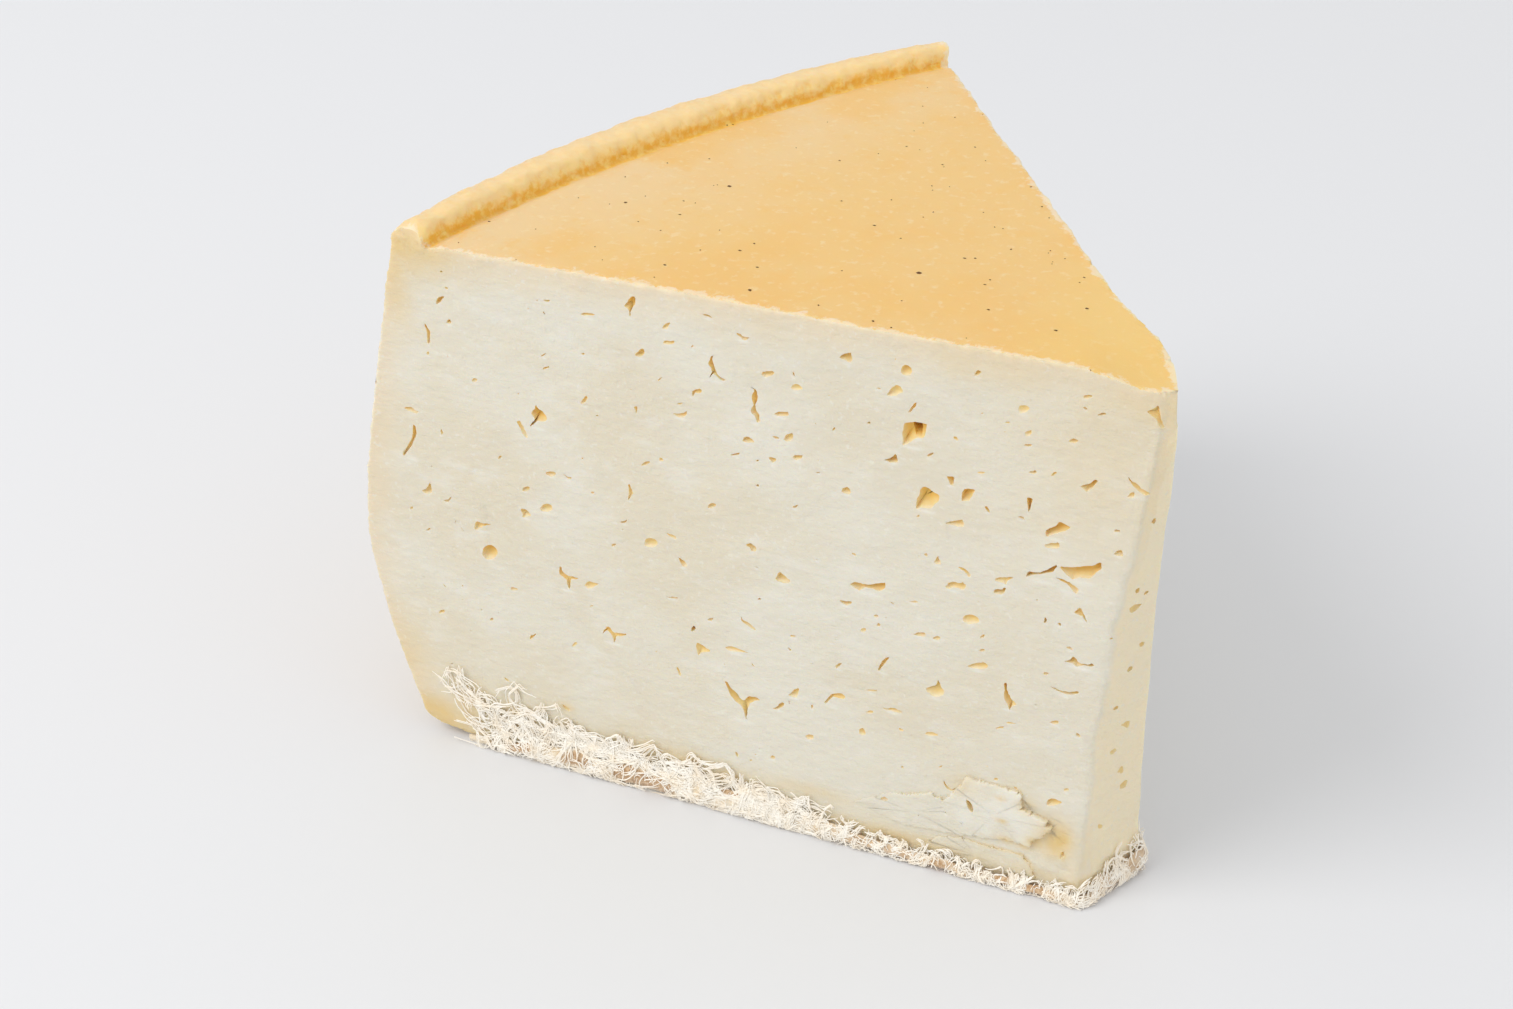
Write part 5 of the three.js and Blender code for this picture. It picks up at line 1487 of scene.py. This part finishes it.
# Locks of threads that came undone together. Each stretch of the edge: first and
# last place, how many locks and threads in each, their shortest and longest
# length, how fast they curl, how far they part and how steeply they climb.
LOCKS = [
    (-4, 6, 22, 3, 6, 13, 0.25, 1.3, -0.9), (2, 14, 34, 4, 5, 12, 0.5, 1.2, 0.3),
    (8, 30, 76, 5, 5, 13, 0.35, 1.1, 0.3), (22, 66, 190, 5, 5, 12, 0.28, 1, 0.15),
    (58, 112, 120, 4, 1.6, 4.5, 0.5, 0.5, 1.2), (108, 127, 40, 4, 2, 7, 0.6, 0.6, 0.6),
    (124, 180, 44, 5, 3, 8, 0.45, 0.6, 0.2), (175, 229, 30, 6, 5, 13, 0.4, 0.9, 0.3),
]
# Loose ends that stand out like bristles: first and last place, how many, their
# shortest and longest length, how fast they curl and how far they splay out.
BRISTLES = [
    (6, 60, 260, 1.5, 4, 0.6, 1), (52, 112, 560, 1.4, 3.2, 0.45, 1), (108, 128, 90, 1.2, 3, 0.5, 0.7),
    (126, 226, 150, 1.6, 4, 0.5, 1.3),
]
# The threads keep to the edge from its first end, and reach further out there for
# each millimetre that they stand higher, to a little past its last end.
FIRST_END, LAST_END = 3.2, 2.0
VEIL_SLOPE = 0.75
# How much of its bend a thread keeps at each step, how much is new, and what is left
# when it turns back.
BEND_KEPT, BEND_NEW, BEND_BACK = 0.86, 0.55, -0.4
# How far a thread may sway from the mat, and how high over the fraying it may climb.
THREAD_SWAY, THREAD_TOPS = 0.15, (0.75, 1.3)
LOCK_PARTING, LOCK_RIPPLE = 0.55, 0.16
LOCK_SPLAY = 0.35
# A thread is mostly left out where this share of it would cross a worn patch.
WORN_LIMIT, WORN_MISSING = 0.3, 0.9
LOWEST = 0.02
THREAD_CREAM, THREAD_STRAW = (0.98, 0.94, 0.86, 1), (0.96, 0.88, 0.75, 1)


def thread(draw, run, z, heading, length, curl, splay):
    """The places that one thread passes through as it wanders over the matted edge."""
    count = max(5, int(length / THREAD_STEP))
    bend, phase, sway = curl * draw.normal(), draw.uniform(0, 6.3), draw.uniform(0, THREAD_SWAY)
    top = draw.uniform(*THREAD_TOPS)
    places = []
    for step in range(count):
        out = splay * (step / count) ** 2 + sway * (1 + math.sin(phase + 0.5 * step))
        places.append((run, z, out + 0.08))
        bend = BEND_KEPT * bend + BEND_NEW * curl * draw.normal()
        heading += bend * THREAD_STEP
        run += math.cos(heading) * THREAD_STEP
        z += math.sin(heading) * THREAD_STEP
        roof = top * fray_height(run)
        if not THREAD_FLOOR < z < roof:
            z = min(max(z, THREAD_FLOOR), roof)
            heading, bend = -heading, BEND_BACK * bend
        if not FIRST_END - VEIL_SLOPE * z < run < EDGE_END + LAST_END:
            run = min(max(run, FIRST_END - VEIL_SLOPE * z), EDGE_END + LAST_END)
            heading, bend = math.pi - heading, BEND_BACK * bend
    return np.array(places)


def lock(draw, count, path, part):
    """Threads that run side by side along a path and part towards its ends."""
    share = np.linspace(-1, 1, len(path))
    strands = []
    for _ in range(count):
        aside = part * draw.normal(size=2) * LOCK_PARTING
        ripple = LOCK_RIPPLE * np.sin(draw.uniform(0, 6.3) + draw.uniform(2, 5) * share * len(path) / 8)
        first = draw.integers(0, max(1, len(path) // 4))
        spread = (0.45 + 0.55 * share**2)[:, None] * aside + ripple[:, None]
        strand = path + np.column_stack([spread, np.full(len(path), 0.3 * draw.random())])
        strand[:, 1] = np.maximum(strand[:, 1], THREAD_FLOOR)
        strands.append(strand[first:len(path) - draw.integers(0, max(1, len(path) // 4))])
    return strands


def thread_rings(places, radius):
    """The rings of a thread, which thins towards its far end."""
    run, z, out = places.T
    line = on_edge(run, z, lies_on_mat(run, z) + out)
    way = np.gradient(line, axis=0)
    way /= np.linalg.norm(way, axis=1)[:, None] + 1e-9
    side = np.cross(way, (0.42, 0.86, 0.29))
    side /= np.linalg.norm(side, axis=1)[:, None] + 1e-9
    over = np.cross(way, side)
    angle = np.linspace(0, 2 * math.pi, THREAD_SIDES, endpoint=False)[:, None, None]
    taper = np.minimum(1, np.linspace(3.4, 0.45, len(line)))[:, None]
    return (line + radius * taper * (np.cos(angle) * side + np.sin(angle) * over)).transpose(1, 0, 2)


def frayed_threads():
    """All the loose threads as one object: locks first, then bristles."""
    draw = np.random.default_rng(21)
    lines = []
    for first, last, count, strands, shortest, longest, curl, part, climb in LOCKS:
        for run in draw.uniform(first, last, count):
            z = draw.uniform(0.1, 1.0) * fray_height(run)
            heading = draw.normal(climb, 0.3) + math.pi * draw.integers(2)
            path = thread(draw, run, z, heading, draw.uniform(shortest, longest), curl, LOCK_SPLAY)
            lines += lock(draw, strands, path, part)
    for first, last, count, shortest, longest, curl, splay in BRISTLES:
        for run in draw.uniform(first, last, count):
            z = draw.uniform(0.3, 0.3 + 0.5 * fray_height(run))
            heading = math.pi / 2 * draw.choice([1, -1]) + draw.normal(0, 0.7)
            lines.append(thread(draw, run, z, heading, draw.uniform(shortest, longest), curl, splay))
    parts = []
    for places in lines:
        if browned(places[:, 0], places[:, 1]).mean() > WORN_LIMIT and draw.random() < WORN_MISSING:
            continue
        parts.append(thread_rings(places, THREAD_RADIUS * draw.uniform(0.7, 1.25)))
    made = shaped("fringe", 0, [cotton_finish("cotton_thread", THREAD_CREAM, THREAD_STRAW, 0.0)], parts)
    points = points_of(made.data)
    points[:, 2] = np.maximum(points[:, 2], LOWEST)
    move_points(made.data, points)
    tell(made.data, "brown", np.zeros(len(points)))
    return made


fringe = frayed_threads()
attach(fringe, "root")
